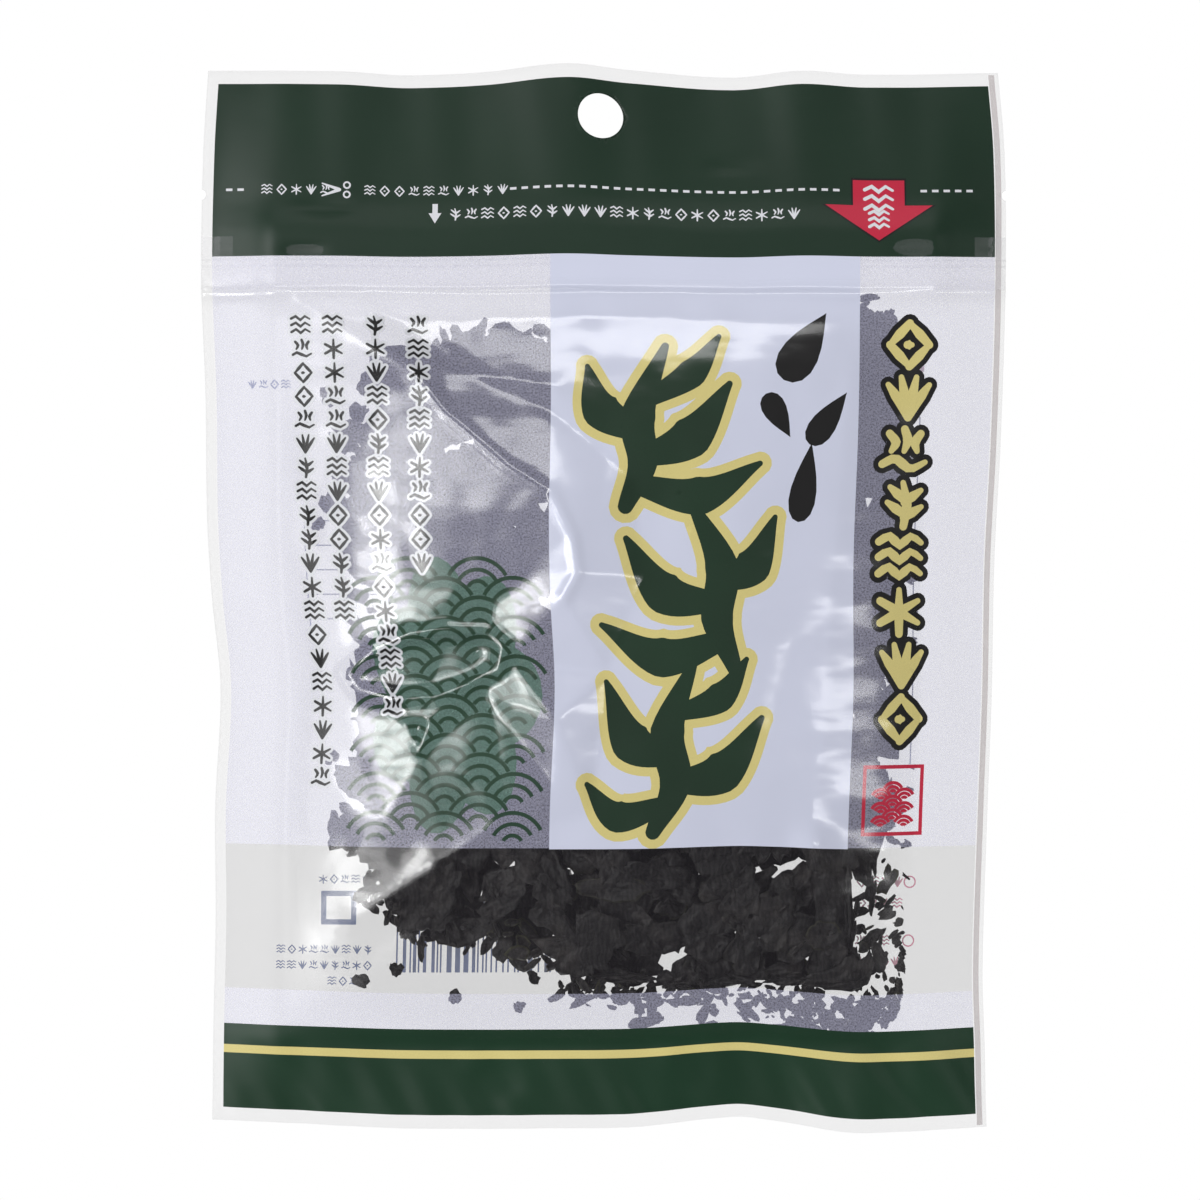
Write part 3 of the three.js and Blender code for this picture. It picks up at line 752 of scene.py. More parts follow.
def blossom(petals):
    """A flower's outline, of radius about 1, whose petals are the cosine of the angle, turned up."""
    angle = np.linspace(0, 2 * np.pi, 8 * petals, endpoint=False)
    reach = 0.78 + 0.22 * np.abs(np.cos(angle * petals / 2))
    return np.stack([reach * np.cos(angle), reach * np.sin(angle)], 1)


# Plain marks, each a few strokes in a box from -1 to 1: waves, a shell, weed over water, a diamond
# round a dot, a star and a sprig.
MARKS = [
    [[(-1, 0.75), (-0.5, 1), (0, 0.6), (0.5, 1), (1, 0.7)],
     [(-1, 0.05), (-0.5, 0.3), (0, -0.1), (0.5, 0.3), (1, 0)],
     [(-1, -0.7), (-0.5, -0.4), (0, -0.8), (0.5, -0.4), (1, -0.7)]],
    [[(0, -0.9), (-0.6, 0.1), (-0.95, 0.6)], [(0, -0.9), (-0.2, 0.2), (-0.35, 0.95)],
     [(0, -0.9), (0.2, 0.2), (0.35, 0.95)], [(0, -0.9), (0.6, 0.1), (0.95, 0.6)]],
    [[(-0.7, 0.8), (-0.4, 0.4), (-0.6, 0)], [(0, 1), (0.15, 0.5), (0, 0)],
     [(0.75, 0.8), (0.5, 0.4), (0.6, 0)], [(-1, -0.6), (-0.4, -0.35), (0.3, -0.8), (1, -0.5)]],
    [[(0, 1), (-0.9, 0)], [(-0.9, 0), (0, -1)], [(0, -1), (0.9, 0)], [(0.9, 0), (0, 1)],
     [(-0.1, 0), (0.1, 0)]],
    [[(0, -1), (0, 1)], [(-0.9, -0.5), (0.9, 0.5)], [(-0.9, 0.5), (0.9, -0.5)]],
    [[(0, -1), (0.12, 0), (-0.1, 1)], [(0, -0.6), (0.8, -0.1)], [(0, -0.45), (-0.8, 0.1)],
     [(0, 0.1), (0.75, 0.65)], [(0, 0.2), (-0.7, 0.8)]],
]
PRINT_EDGE = 72.9
HEADER = (64.2, 97.4)
FOOT = (-97.4, -80.9)
GOLD_BAND = (-86.6, -85.0)
PANEL = (-9.9, 47.7, -46.6, 64.2)
WINDOW = (-74.0, -46.4)
CUT_LINE = 76.9
DASH, DASH_PITCH, DASH_HALF = 1.2, 2.15, 0.24


def mark(kind, centre, half, width, grow=0.0):
    """One of MARKS as outlines, with tapering strokes, each grown by the same border."""
    widths = (width, 1.25 * width, 0.7 * width)
    count = 9 if half > 3 else 5
    lines = MARKS[kind % len(MARKS)]
    return [stroke(np.array(line) * half + centre, widths, grow, count) for line in lines]


def mark_row(start, step, count, half, width, rng):
    """Marks in a row or column, in a seeded order: all their outlines, their kinds and their centres."""
    kinds = rng.permutation(np.arange(count) % len(MARKS))
    centres = [np.add(start, np.multiply(step, i)) for i in range(count)]
    outlines = [o for kind, centre in zip(kinds, centres) for o in mark(kind, centre, half, width)]
    return outlines, kinds, centres


def front_print():
    """The front's inks, each with its outlines, from the lowest to the topmost."""
    rng = np.random.default_rng(11)
    inks = [
        ("clear", [box_outline(-PRINT_EDGE, PRINT_EDGE, *WINDOW)]),
        ("frost", [box_outline(-PRINT_EDGE, PRINT_EDGE, WINDOW[1], HEADER[0]),
                   box_outline(-PRINT_EDGE, PRINT_EDGE, FOOT[1], WINDOW[0])]),
        ("sea_tint", [placed(blossom(7) * (0.8, 1.25), (-29, -18), 21)]),
        ("sea_line", wave_scales(-50, -46, 3, 14, 6.6, 0.75)),
        ("panel", [box_outline(*PANEL)]),
        ("header", [box_outline(-PRINT_EDGE, PRINT_EDGE, *HEADER)]),
        ("foot", [box_outline(-PRINT_EDGE, PRINT_EDGE, *FOOT)]),
        ("gold", [box_outline(-PRINT_EDGE, PRINT_EDGE, *GOLD_BAND)]),
    ]
    gold_edges, sprigs = [], []
    for strokes, place in zip(SPRIGS, SPRIG_PLACES):
        for points, widths in strokes:
            moved = np.asarray(points, float) + place
            widths = np.multiply(widths, SPRIG_WEIGHT)
            gold_edges.append(stroke(moved, widths, GOLD_LINE))
            sprigs.append(stroke(moved, widths))
    inks += [("gold", gold_edges), ("brush_green", sprigs)]
    inks.append(("black", [
        placed(drop(15, 8), (37.5, 47), turn=58), placed(drop(9.5, 5), (32.6, 34), turn=-60),
        placed(drop(12, 5.4), (42, 33.5), turn=55), placed(drop(15, 5.6), (38, 21.5), turn=82),
    ]))

    kinds = (3, 1, 2, 5, 0, 4, 1, 3)
    medals = [(kind, (56.6 + 0.5 * (kind % 2), 47.5 - 10 * i)) for i, kind in enumerate(kinds)]
    inks.append(("black", [o for kind, place in medals for o in mark(kind, place, 4.1, 1.5, 1.0)]))
    inks.append(("gold", [o for kind, place in medals for o in mark(kind, place, 4.1, 1.5)]))

    stamp, corner = (56.2, -37.6), np.array([(-1, -1), (1, -1), (1, 1), (-1, 1)])
    inks += [("red", [along(corner * (6.0, 6.6) + stamp, 0.8)]),
             ("frost", [along(corner * (5.3, 5.9) + stamp, 0.8)]),
             ("red", wave_scales(stamp[0] - 4.6, stamp[1] - 5.0, 2, 6, 2.3, 0.62))]

    halos, marks = [], []
    for s, drift, count in [(-56.5, 0.11, 20), (-50.5, 0.1, 13), (-42.6, 0.1, 17), (-34.6, 0.06, 11)]:
        outlines, kinds, centres = mark_row((s, 51), (drift, -4.45), count, 1.75, 0.5, rng)
        marks += outlines
        halos += [o for kind, centre in zip(kinds, centres) for o in mark(kind, centre, 1.75, 0.5, 0.5)]
    inks += [("white", halos), ("black", marks)]

    free = [(-70.5, -66.5), (-17.5, 44.5), (59, 69.5)]
    dashes = [box_outline(s, s + DASH, CUT_LINE - DASH_HALF, CUT_LINE + DASH_HALF)
              for low, high in free for s in np.arange(low, high, DASH_PITCH)]
    arrow = [(-31.9, 74.4), (-30.9, 74.4), (-30.9, 72.6), (-30.2, 72.6), (-31.4, 70.6), (-32.6, 72.6),
             (-31.9, 72.6)]
    small = mark_row((-62.8, CUT_LINE), (2.75, 0), 5, 0.95, 0.24, rng)[0]
    small += mark_row((-43.6, CUT_LINE), (2.75, 0), 10, 0.95, 0.24, rng)[0]
    small += mark_row((-27.6, 72.3), (3.0, 0), 22, 1.1, 0.28, rng)[0]
    scissors = [stroke([(-52.5, 78.1), (-49.3, 76.9)], (0.25, 0.7), count=5),
                stroke([(-52.5, 75.7), (-49.3, 76.9)], (0.25, 0.7), count=5)]
    scissors += [circle((-47.9, 77.8), 0.75, 12), circle((-47.9, 76.0), 0.75, 12)]
    inks.append(("white", dashes + [arrow] + small + scissors))
    inks.append(("header", [circle((-47.9, 77.8), 0.42, 10), circle((-47.9, 76.0), 0.42, 10)]))
    big_arrow = np.array([
        (-4.9, 5.9), (4.9, 5.9), (4.9, 0.9), (10.2, 0.9), (0, -6), (-10.2, 0.9), (-4.9, 0.9),
    ])
    inks.append(("black", [along(big_arrow * 1.05 + (51.2, 73.2), 1)]))
    inks.append(("red", [along(big_arrow * 0.98 + (51.2, 73.2), 1)]))
    inks.append(("white", mark(0, (51.2, 75.2), 2.6, 0.7) + mark(0, (51.2, 71.2), 1.8, 0.6)))
    return inks


def back_print():
    """The back's inks, as they show through: a ruled table, plain bars, a frame and rows of marks."""
    rng = np.random.default_rng(23)
    thin = 0.22
    blue = []
    for left, right, top, bottom, pitch in [(-56.5, -36, 14.5, -8, 4.6), (47, 59.5, 34, -31, 9.8)]:
        for t in np.arange(top, bottom, -pitch):
            blue.append(box_outline(left, right, t - thin / 2, t + thin / 2, 1.5))
        for s in (left, right):
            blue.append(box_outline(s - thin / 2, s + thin / 2, bottom, top, 1.5))
    s = -39.7
    while s < -8:
        wide = rng.choice([0.33, 0.66, 0.99])
        blue.append(box_outline(s, s + wide, -70.5, -56.3, 1.5))
        s += wide + rng.choice([0.33, 0.66, 0.99])
    for t, left, count in [(-66.3, -62, 9), (-69.3, -62, 9), (-72.3, -52, 4), (-53, -54, 5), (40, -66, 4)]:
        blue += mark_row((left, t), (2.1, 0), count, 0.8, 0.22, rng)[0]
    frame_outer = along([(-54.4, -61.6), (-47.6, -61.6), (-47.6, -55.2), (-54.4, -55.2)], 1)
    frame_inner = along([(-53.4, -60.6), (-48.6, -60.6), (-48.6, -56.2), (-53.4, -56.2)], 1)
    pink = [box_outline(45.5, 60, 42.5, 49, 1.5)]
    for t in (-53, -57, -64, -68):
        pink += mark_row((51, t), (2.3, 0), 4, 0.95, 0.3, rng)[0]
    rings = [(60.2, -53), (60.2, -64)]
    # A darker strip along the right edge: painted shade.
    edge = [box_outline(73.1, 74.2, -99.6, 99.6)]
    bare = [box_outline(-PRINT_EDGE, PRINT_EDGE, FOOT[0], HEADER[1])]
    return [
        ("clear", bare),
        ("back_edge", edge),
        ("back_blue", blue + [frame_outer]),
        ("clear", [frame_inner]),
        ("back_pink", pink + [circle(place, 1.2, 16) for place in rings]),
        ("clear", [circle(place, 0.9, 16) for place in rings]),
    ]


def staggered_grid(left, right, low, high, step):
    """Places in rows, each row half a step aside from the one before."""
    rows = np.arange(low, high, step * 0.87)
    s, t = np.meshgrid(np.arange(left, right, step), rows)
    s = s + (np.arange(len(rows)) % 2)[:, None] * step / 2
    return np.stack([s.ravel(), t.ravel()], 1)


def cut_sheet(grid, outlines, hole_outlines):
    """The flat sheet, triangulated through a grid and all outlines, the first of them its own edge.

    Gives the places of the corners, the triangles, all anticlockwise, and for each triangle the
    number of the last outline that covers it. What lies in a hole is left out.
    """
    first_hole = len(outlines)
    outlines = [anticlockwise(np.asarray(o)) for o in outlines + hole_outlines]
    starts = np.cumsum([len(grid)] + [len(o) for o in outlines])
    loops = [list(range(start, start + len(o))) for start, o in zip(starts, outlines)]
    points = np.concatenate([grid, *outlines]).tolist()
    cut = delaunay_2d_cdt([Vector(p) for p in points], [], loops, 0, 1e-4)
    last = [max(covers) if 0 in covers else -1 for covers in cut[5]]
    kept = [i for i, top in enumerate(last) if 0 <= top < first_hole]
    used, faces = np.unique([cut[2][i] for i in kept], return_inverse=True)
    faces = faces.reshape(-1, 3)
    flat = np.array(cut[0])[used]
    first, second, third = (flat[faces[:, k]] for k in range(3))
    turned = np.cross(second - first, third - first) < 0
    faces[turned] = faces[turned][:, ::-1]
    return flat, faces, [last[i] for i in kept]


def printed_sheet(name, inks, grid, inside, outward, materials):
    """A film as two faces FILM apart, with a wall round the rim, the inner one cut along its print.

    On the inner face each triangle takes the topmost ink that covers it. The outer face is clear.
    """
    sheet = box_outline(-WIDTH / 2, WIDTH / 2, -HEIGHT / 2, HEIGHT / 2, 1.25)
    holes = [circle(HOLE_PLACE, HOLE_RADIUS, 64)]
    holes += [circle((side * (WIDTH / 2 + 0.2), NOTCH_HEIGHT), NOTCH_RADIUS, 16) for side in (-1, 1)]
    outlines = [sheet] + [shape for _, shapes in inks for shape in shapes]
    ink_of = ["rim"] + [ink for ink, shapes in inks for _ in shapes]
    flat, faces, last = cut_sheet(grid, outlines, holes)
    outer_flat, outer_faces, _ = cut_sheet(grid, [sheet], holes)
    count = len(flat)
    outer_at = {(round(s, 3), round(t, 3)): count + i for i, (s, t) in enumerate(outer_flat.tolist())}
    sides = np.concatenate([faces[:, [0, 1]], faces[:, [1, 2]], faces[:, [2, 0]]])
    keys = sides[:, 0] * count + sides[:, 1]
    rim = sides[~np.isin(keys, sides[:, 1] * count + sides[:, 0])]
    rim_out = np.array([
        [outer_at[round(s, 3), round(t, 3)] for s, t in flat[pair].tolist()] for pair in rim
    ])
    walls = np.concatenate([np.stack([rim[:, 0], rim[:, 1], rim_out[:, 1]], 1),
                            np.stack([rim[:, 0], rim_out[:, 1], rim_out[:, 0]], 1)])
    all_faces = np.concatenate([faces[:, ::-1], outer_faces + count, walls])
    if outward < 0:
        all_faces = all_faces[:, ::-1]
    s, t = np.concatenate([flat, outer_flat]).T
    z = inside(s, t)
    z[count:] += outward * FILM
    slots = {m: i for i, m in enumerate(materials.values())}
    outer_slot = slots[materials["gloss"]]
    face_slots = [slots[materials[ink_of[top]]] for top in last]
    face_slots += [outer_slot] * (len(outer_faces) + len(walls))
    made = mesh_object(name, bent(s, t, z), all_faces, list(slots), np.array(face_slots))
    add_uv(made, np.stack([(s + WIDTH / 2) / HEIGHT, (t + HEIGHT / 2) / HEIGHT], 1), all_faces)
    add_values(made, "seal", (1 - slack(s, t)) * (1 - np.exp(-(((t - ZIP_CREASE) / 2) ** 2))))
    return made


def mesh_object(name, points, faces, materials, slots=None):
    """A mesh object at the origin, smooth shaded, with its materials and each face's slot."""
    mesh = bpy.data.meshes.new(name)
    mesh.vertices.add(len(points))
    mesh.vertices.foreach_set("co", np.asarray(points, np.float32).ravel())
    mesh.loops.add(faces.size)
    mesh.loops.foreach_set("vertex_index", faces.astype(np.int32).ravel())
    mesh.polygons.add(len(faces))
    mesh.polygons.foreach_set("loop_start", np.arange(0, faces.size, faces.shape[1], dtype=np.int32))
    if slots is not None:
        mesh.polygons.foreach_set("material_index", slots.astype(np.int32))
    mesh.update(calc_edges=True)
    mesh.shade_smooth()
    for one in materials:
        mesh.materials.append(one)
    made = bpy.data.objects.new(name, mesh)
    bpy.context.scene.collection.objects.link(made)
    return made


def add_uv(made, vertex_uv, faces):
    """The UV map "flat", the same at a corner in all the faces that meet there."""
    layer = made.data.uv_layers.new(name="flat")
    layer.data.foreach_set("uv", vertex_uv[faces.ravel()].astype(np.float32).ravel())


def add_values(made, name, values):
    """An attribute with one number for each corner."""
    attribute = made.data.attributes.new(name, "FLOAT", "POINT")
    attribute.data.foreach_set("value", np.asarray(values, np.float32))


gloss = gloss_material("clear_film", 0.6)
clear = ink_material("unprinted_film", (0.045, 0.035, 0.055), 0.15, 0.05, 0.05)
bare_rim = ink_material("bare_film_rim", (0.3, 0.28, 0.3), 0.07, 0.05, 0.05)
FRONT_INKS = {
    "gloss": gloss,
    "rim": bare_rim,
    "clear": clear,
    "frost": ink_material("frosted_ink", (0.75, 0.745, 0.99), 0.33, 0.06, 0.05, 0.55),
    "panel": ink_material("pale_blue_ink", (0.75, 0.78, 0.95), 1.0, 0.02, 0.06),
    "header": ink_material("header_green_ink", (0.006, 0.034, 0.015), 1.0, 0.25, 0.2),
    "foot": ink_material("foot_green_ink", (0.006, 0.046, 0.018), 1.0, 0.25, 0.25),
    "gold": ink_material("gold_ink", (0.80, 0.69, 0.26), 1.0, 0.12, 0.1),
    "black": ink_material("black_ink", (0.008, 0.007, 0.008), 1.0, 0.2, 0.2),
    "white": ink_material("white_ink", (0.80, 0.81, 0.86), 0.93, 0.05, 0.05),
    "red": ink_material("red_ink", (0.62, 0.010, 0.050), 1.0, 0.12, 0.1),
    "brush_green": ink_material("brush_green_ink", (0.008, 0.040, 0.016), 1.0, 0.3, 0.5),
    "sea_line": ink_material("line_green_ink", (0.020, 0.065, 0.035), 0.95, 0.2, 0.3),
    "sea_tint": ink_material("sea_green_tint", (0.34, 0.60, 0.51), 0.34, 0.05, 0.2, 0.3),
}
BACK_INKS = {
    "gloss": gloss,
    "rim": bare_rim,
    "clear": clear,
    "back_blue": ink_material("back_blue_ink", (0.13, 0.18, 0.38), 0.88, 0.1, 0.1),
    "back_pink": ink_material("back_pink_ink", (0.70, 0.18, 0.30), 0.8, 0.1, 0.1),
    # Painted shade along the right edge.
    "back_edge": ink_material("back_edge_shade", (0.42, 0.34, 0.34), 0.55, 0.1, 0.1),
}

SHEET_BOX = (-WIDTH / 2 + 0.6, WIDTH / 2 - 0.6, -HEIGHT / 2 + 0.6, HEIGHT / 2 - 0.6)
coarse = staggered_grid(*SHEET_BOX, 1.3)
left, right, low, high = FACET_BOX
creased = (coarse[:, 0] > left) & (coarse[:, 0] < right) & (coarse[:, 1] > low) & (coarse[:, 1] < high)
zip_low, zip_high = ZIP_CREASE_ROWS
by_zip = (coarse[:, 1] > zip_low) & (coarse[:, 1] < zip_high)
front_grid = np.concatenate([
    coarse[~creased & ~by_zip], staggered_grid(*FACET_BOX, 0.74),
    staggered_grid(*SHEET_BOX[:2], zip_low, zip_high, 0.6),
])
front_film = printed_sheet("front_film_sheet", front_print(), front_grid, front_inside, 1, FRONT_INKS)
back_film = printed_sheet("back_film_sheet", back_print(), coarse, back_inside, -1, BACK_INKS)
for sheet, cad_node, finish in (
    (front_film, "front_film", "printed_film"), (back_film, "back_film", "clear_film"),
):
    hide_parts(cad_node)
    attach(sheet, "root")


# The dried flakes


class Draw:
    """A repeatable stream of numbers from 0 to 1, the same as in the part's source."""

    def __init__(self, start):
        self.state = start

    def __call__(self):
        self.state = (self.state * 1664525 + 1013904223) % 4294967296
        return self.state / 4294967296


def inside_outline(s, t):
    """Whether a place is inside the bed's outline: a ray to the right crosses it an odd number of times."""
    a, b = BED_OUTLINE, np.roll(BED_OUTLINE, -1, 0)
    crosses = (a[:, 1] > t) != (b[:, 1] > t)
    with np.errstate(divide="ignore", invalid="ignore"):
        at = a[:, 0] + (t - a[:, 1]) / (b[:, 1] - a[:, 1]) * (b[:, 0] - a[:, 0])
    return bool(np.sum(crosses & (s < at)) % 2)


def flake_plan(draw, s, t, size):
    """A large flake as in the part's source: its corners' angles, reaches and lifts."""
    long = mix(1, FLAKE_LONGEST, draw())
    turn = draw() * math.pi
    tilt = FLAKE_TILT * draw()
    tilt_to = draw() * 2 * math.pi
    corners = []
    for i in range(FLAKE_CORNERS):
        angle = ((i + 0.7 * (draw() - 0.5)) / FLAKE_CORNERS) * 2 * math.pi
        reach = size * mix(*FLAKE_REACH, draw())
        lift = tilt * math.cos(angle - tilt_to) + FLAKE_CURL * (draw() - 0.5)
        corners.append((angle, reach, lift))
    return {"at": (s, t), "long": long, "turn": turn, "corners": corners}


def large_flakes():
    """The large flakes' plans, by the same rule and draws as in the part's source."""
    draw = Draw(RANDOM_START)
    plans = []
    for spacing, size, level in LAYERS:
        row_height = spacing * math.sqrt(0.75)
        row = 0
        while CAVITY_LOW + row * row_height < CAVITY_HIGH:
            column = 0
            while column * spacing < 2 * CAVITY_HALF:
                s = -CAVITY_HALF + (column + (row % 2) / 2) * spacing + JITTER * (draw() - 0.5)
                t = CAVITY_LOW + row * row_height + JITTER * (draw() - 0.5)
                reach = mix(*size, draw())
                at = mix(*level, draw())
                plan = flake_plan(draw, s, t, reach)
                plan["level"] = at
                outer = 1 + EDGE_INSET / math.hypot(s - BED_CENTRE[0], t - BED_CENTRE[1])
                if inside_outline(mix(BED_CENTRE[0], s, outer), mix(BED_CENTRE[1], t, outer)):
                    plans.append(plan)
                column += 1
            row += 1
    return plans


TABLE_STEP = 0.5
TABLE_S = np.arange(-WIDTH / 2, WIDTH / 2 + TABLE_STEP, TABLE_STEP)
TABLE_T = np.arange(-HEIGHT / 2, HEIGHT / 2 + TABLE_STEP, TABLE_STEP)
FRONT_TABLE, BACK_TABLE = (
    face(*np.meshgrid(TABLE_S, TABLE_T, indexing="ij")) for face in (front_inside, back_inside)
)


def read_table(table, s, t):
    """A film's height at any place, linear between the places of its table."""
    u = np.clip((s - TABLE_S[0]) / TABLE_STEP, 0, len(TABLE_S) - 1.001)
    v = np.clip((t - TABLE_T[0]) / TABLE_STEP, 0, len(TABLE_T) - 1.001)
    i, j = u.astype(int), v.astype(int)
    low = mix(table[i, j], table[i, j + 1], v - j)
    high = mix(table[i + 1, j], table[i + 1, j + 1], v - j)
    return mix(low, high, u - i)


def fitted(s, t):
    """Places moved towards the bed's middle until the films there are far enough apart."""
    s, t = s.copy(), t.copy()
    for _ in range(60):
        room = read_table(FRONT_TABLE, s, t) - read_table(BACK_TABLE, s, t) - 2 * BED_CLEAR
        tight = (np.abs(s) > CAVITY_HALF) | (t > CAVITY_HIGH) | (t < CAVITY_LOW) | (room < LEAST_ROOM)
        if not tight.any():
            break
        s[tight] = mix(s[tight], BED_CENTRE[0], 0.03)
        t[tight] = mix(t[tight], BED_CENTRE[1], 0.03)
    return s, t


def drawn_in(s, t, rng):
    """A flake's places drawn in from the heap's right side, foot and upper left, to a ragged edge."""
    side = HEAP_SIDE + SIDE_WIDENS * smooth(t, -50, -35) + rng.uniform(-3, 3)
    foot = HEAP_FOOT + rng.uniform(-1.8, 1.2)
    top = HEAP_TOP + rng.uniform(-2, 1.5) + TOP_RISES * smooth(s, -8, 10)
    t = np.where(t < foot, foot + 0.3 * (t - foot), np.where(t > top, top + 0.25 * (t - top), t))
    s = np.where(s > side, side + 0.25 * (s - side), s)
    return s, t


def flake_sheets(plans, rings, spokes, crinkle, seed):
    """Thin torn blades, one for each plan, as arrays of points, faces, rim and tone.

    A blade is a fan of rings and spokes. Its outline runs smoothly through the plan's corners, with
    teeth and a few deep tears. Its height is the plan's level and lifts, with ridged crinkles, and it
    is held between the films, each blade a little further in than the last, so that none coincide.
    The large blades have next to no painted rim light or tone.
    """
    rng = np.random.default_rng(seed)
    angle = np.linspace(0, 2 * np.pi, spokes, endpoint=False)
    radius = np.concatenate([[0.02], np.linspace(0, 1, rings + 1)[1:] ** 0.85])
    points, faces, rims, tones = [], [], [], []
    cell = np.arange(rings)[:, None] * spokes + np.arange(spokes)
    ahead = np.arange(rings)[:, None] * spokes + (np.arange(spokes) + 1) % spokes
    quads = np.stack([cell, cell + spokes, ahead + spokes, ahead], -1).reshape(-1, 4)
    for k, plan in enumerate(plans):
        corner_angle, reach, lift = np.array(plan["corners"]).T
        wrap = np.concatenate([corner_angle - 2 * np.pi, corner_angle, corner_angle + 2 * np.pi])
        edge = np.interp(angle, wrap, np.tile(reach, 3))
        lifts = np.interp(angle, wrap, np.tile(lift, 3))
        teeth = sum(
            rng.uniform(0.02, 0.09) * np.sin(n * angle + rng.uniform(0, 6.3)) for n in (3, 5, 8, 13)
        )
        tears = sum(
            rng.uniform(0.15, 0.5) * np.exp(-(((angle - rng.uniform(0, 6.3) + np.pi) % (2 * np.pi) - np.pi)
                                              / rng.uniform(0.06, 0.2)) ** 2)
            for _ in range(3)
        )
        edge = edge * (1 + teeth) * (1 - tears)
        u = radius[:, None] * edge * np.cos(angle) * plan["long"]
        v = radius[:, None] * edge * np.sin(angle) / plan["long"]
        size = reach.mean()
        a, b = rng.uniform(0, 50, 2)
        ridged = 1 - np.abs(waves(u + a, v + b, seed + 7 * k, 7, 0.5 * size, 1.4 * size))
        fine = waves(u + a, v + b, seed + 7 * k + 3, 9, 0.18 * size, 0.45 * size)
        turn = plan["turn"]
        s = plan["at"][0] + u * math.cos(turn) - v * math.sin(turn)
        t = plan["at"][1] + u * math.sin(turn) + v * math.cos(turn)
        if size > 2.5:
            s, t = drawn_in(s, t, rng)
        s, t = fitted(s, t)
        low = read_table(BACK_TABLE, s, t) + BED_CLEAR + 0.05 * (k % 9)
        high = read_table(FRONT_TABLE, s, t) - BED_CLEAR - 0.07 * (k % 11)
        high = np.maximum(high, low + 0.02)
        level = plan["level"] + lifts * radius[:, None]
        z = mix(low, high, level) + crinkle * (0.7 * ridged + 0.35 * fine) * (0.4 + 0.6 * radius[:, None])
        z = np.clip(z, low, high)
        points.append(bent(s.ravel(), t.ravel(), z.ravel()))
        faces.append(quads + k * radius.size * spokes)
        # Painted light through the thin rim, on a few blades only and weaker on the large ones; the tone
        # differs at random.
        plain = 0.25 if size > 4.5 else 1.0
        edge_light = plain * rng.random() ** 7
        rims.append(np.repeat(smooth(radius, 0.86, 1.0) * edge_light, spokes))
        tones.append(np.full(radius.size * spokes, 0.5 * plain * rng.random()))
    return np.concatenate(points), np.concatenate(faces), np.concatenate(rims), np.concatenate(tones)


def flakes_object(name, plans, rings, spokes, crinkle, seed, thickness, material):
    """One piece of all the plans' blades, with a wall of the given thickness in millimetres."""
    points, faces, rim, tone = flake_sheets(plans, rings, spokes, crinkle, seed)
    made = mesh_object(name, points, faces, [material])
    add_values(made, "rim", rim)
    add_values(made, "tone", tone)
    wall = made.modifiers.new("wall", "SOLIDIFY")
    wall.thickness = thickness * MM
    wall.offset = 0
    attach(made, "root")
    return made


def random_flakes(count, size, level, seed, where):
    """Plans for count smaller flakes: where(rng) gives each one's place."""
    rng = np.random.default_rng(seed)
    plans = []
    for _ in range(count):
        s, t = where(rng)
        reach = mix(*size, rng.random() ** 1.5)
        turns = (np.arange(FLAKE_CORNERS) + rng.uniform(-0.35, 0.35, FLAKE_CORNERS)) / FLAKE_CORNERS
        corners = [
            (turn * 2 * math.pi, reach * rng.uniform(0.55, 1.15), rng.uniform(-0.1, 0.1)) for turn in turns
        ]
        plans.append({
            "at": (s, t), "long": rng.uniform(1, 1.9), "turn": rng.uniform(0, math.pi),
            "corners": corners, "level": rng.uniform(*level),
        })
    return plans


# Below the heap's foot the crumbs hang in clumps, and beside it flakes lie apart.
SPARSE_BELOW = -71.0
CLUMPS = np.array([
    (-3, -73.5), (5, -74.5), (8.5, -76.5), (14, -74.8), (19, -74.2), (22.5, -75.8), (28.5, -74.5),
    (34, -76), (35.5, -78), (41, -75), (43, -78.2), (47.5, -76.5), (50.5, -79.5), (53.5, -76),
    (57.5, -77.5), (58.5, -74),
])


def in_bed(rng):
    """A place in the bed's outline, and seldom at its foot, its right side or its upper left."""
    while True:
        s, t = rng.uniform(-50, 60), rng.uniform(-80, 56)
        crowded = t > SPARSE_BELOW and s < 52 and (t < 47 or s > 0)
        if inside_outline(s, t) and (crowded or rng.random() < 0.1):
            return s, t


def by_edge(rng):
    """A place near the bed's outline, further in on the right and on the upper left."""
    i = rng.choice(len(BED_OUTLINE))
    a, b = BED_OUTLINE[i], BED_OUTLINE[(i + 1) % len(BED_OUTLINE)]
    s, t = mix(a, b, rng.random()) + rng.normal(0, 1.8, 2)
    if s > 50:
        s -= abs(rng.normal(0, 5))
    if t > 45 and s < 0:
        t -= 5 + abs(rng.normal(0, 3))
    return float(s), float(t)


def along_top(rng):
    """A place along the heap's upper left edge, where lobes of the leaf stand out."""
    return rng.uniform(-31, 2), 47.5 + rng.normal(0, 1.5)


def at_foot(rng):
    """A place in one of the clumps under the heap, or beside its right edge."""
    if rng.random() < 0.68:
        s, t = CLUMPS[rng.integers(len(CLUMPS))] + rng.normal(0, (1.5, 1.3))
        return float(s), float(t)
    return min(51 + rng.exponential(3.5), 60.5), rng.uniform(-79, 52)


# The rim colour is painted light shining through the leaf's thin edges.
dark_leaf = leaf_material("dried_wakame_leaf", (0.08, 0.08, 0.035))

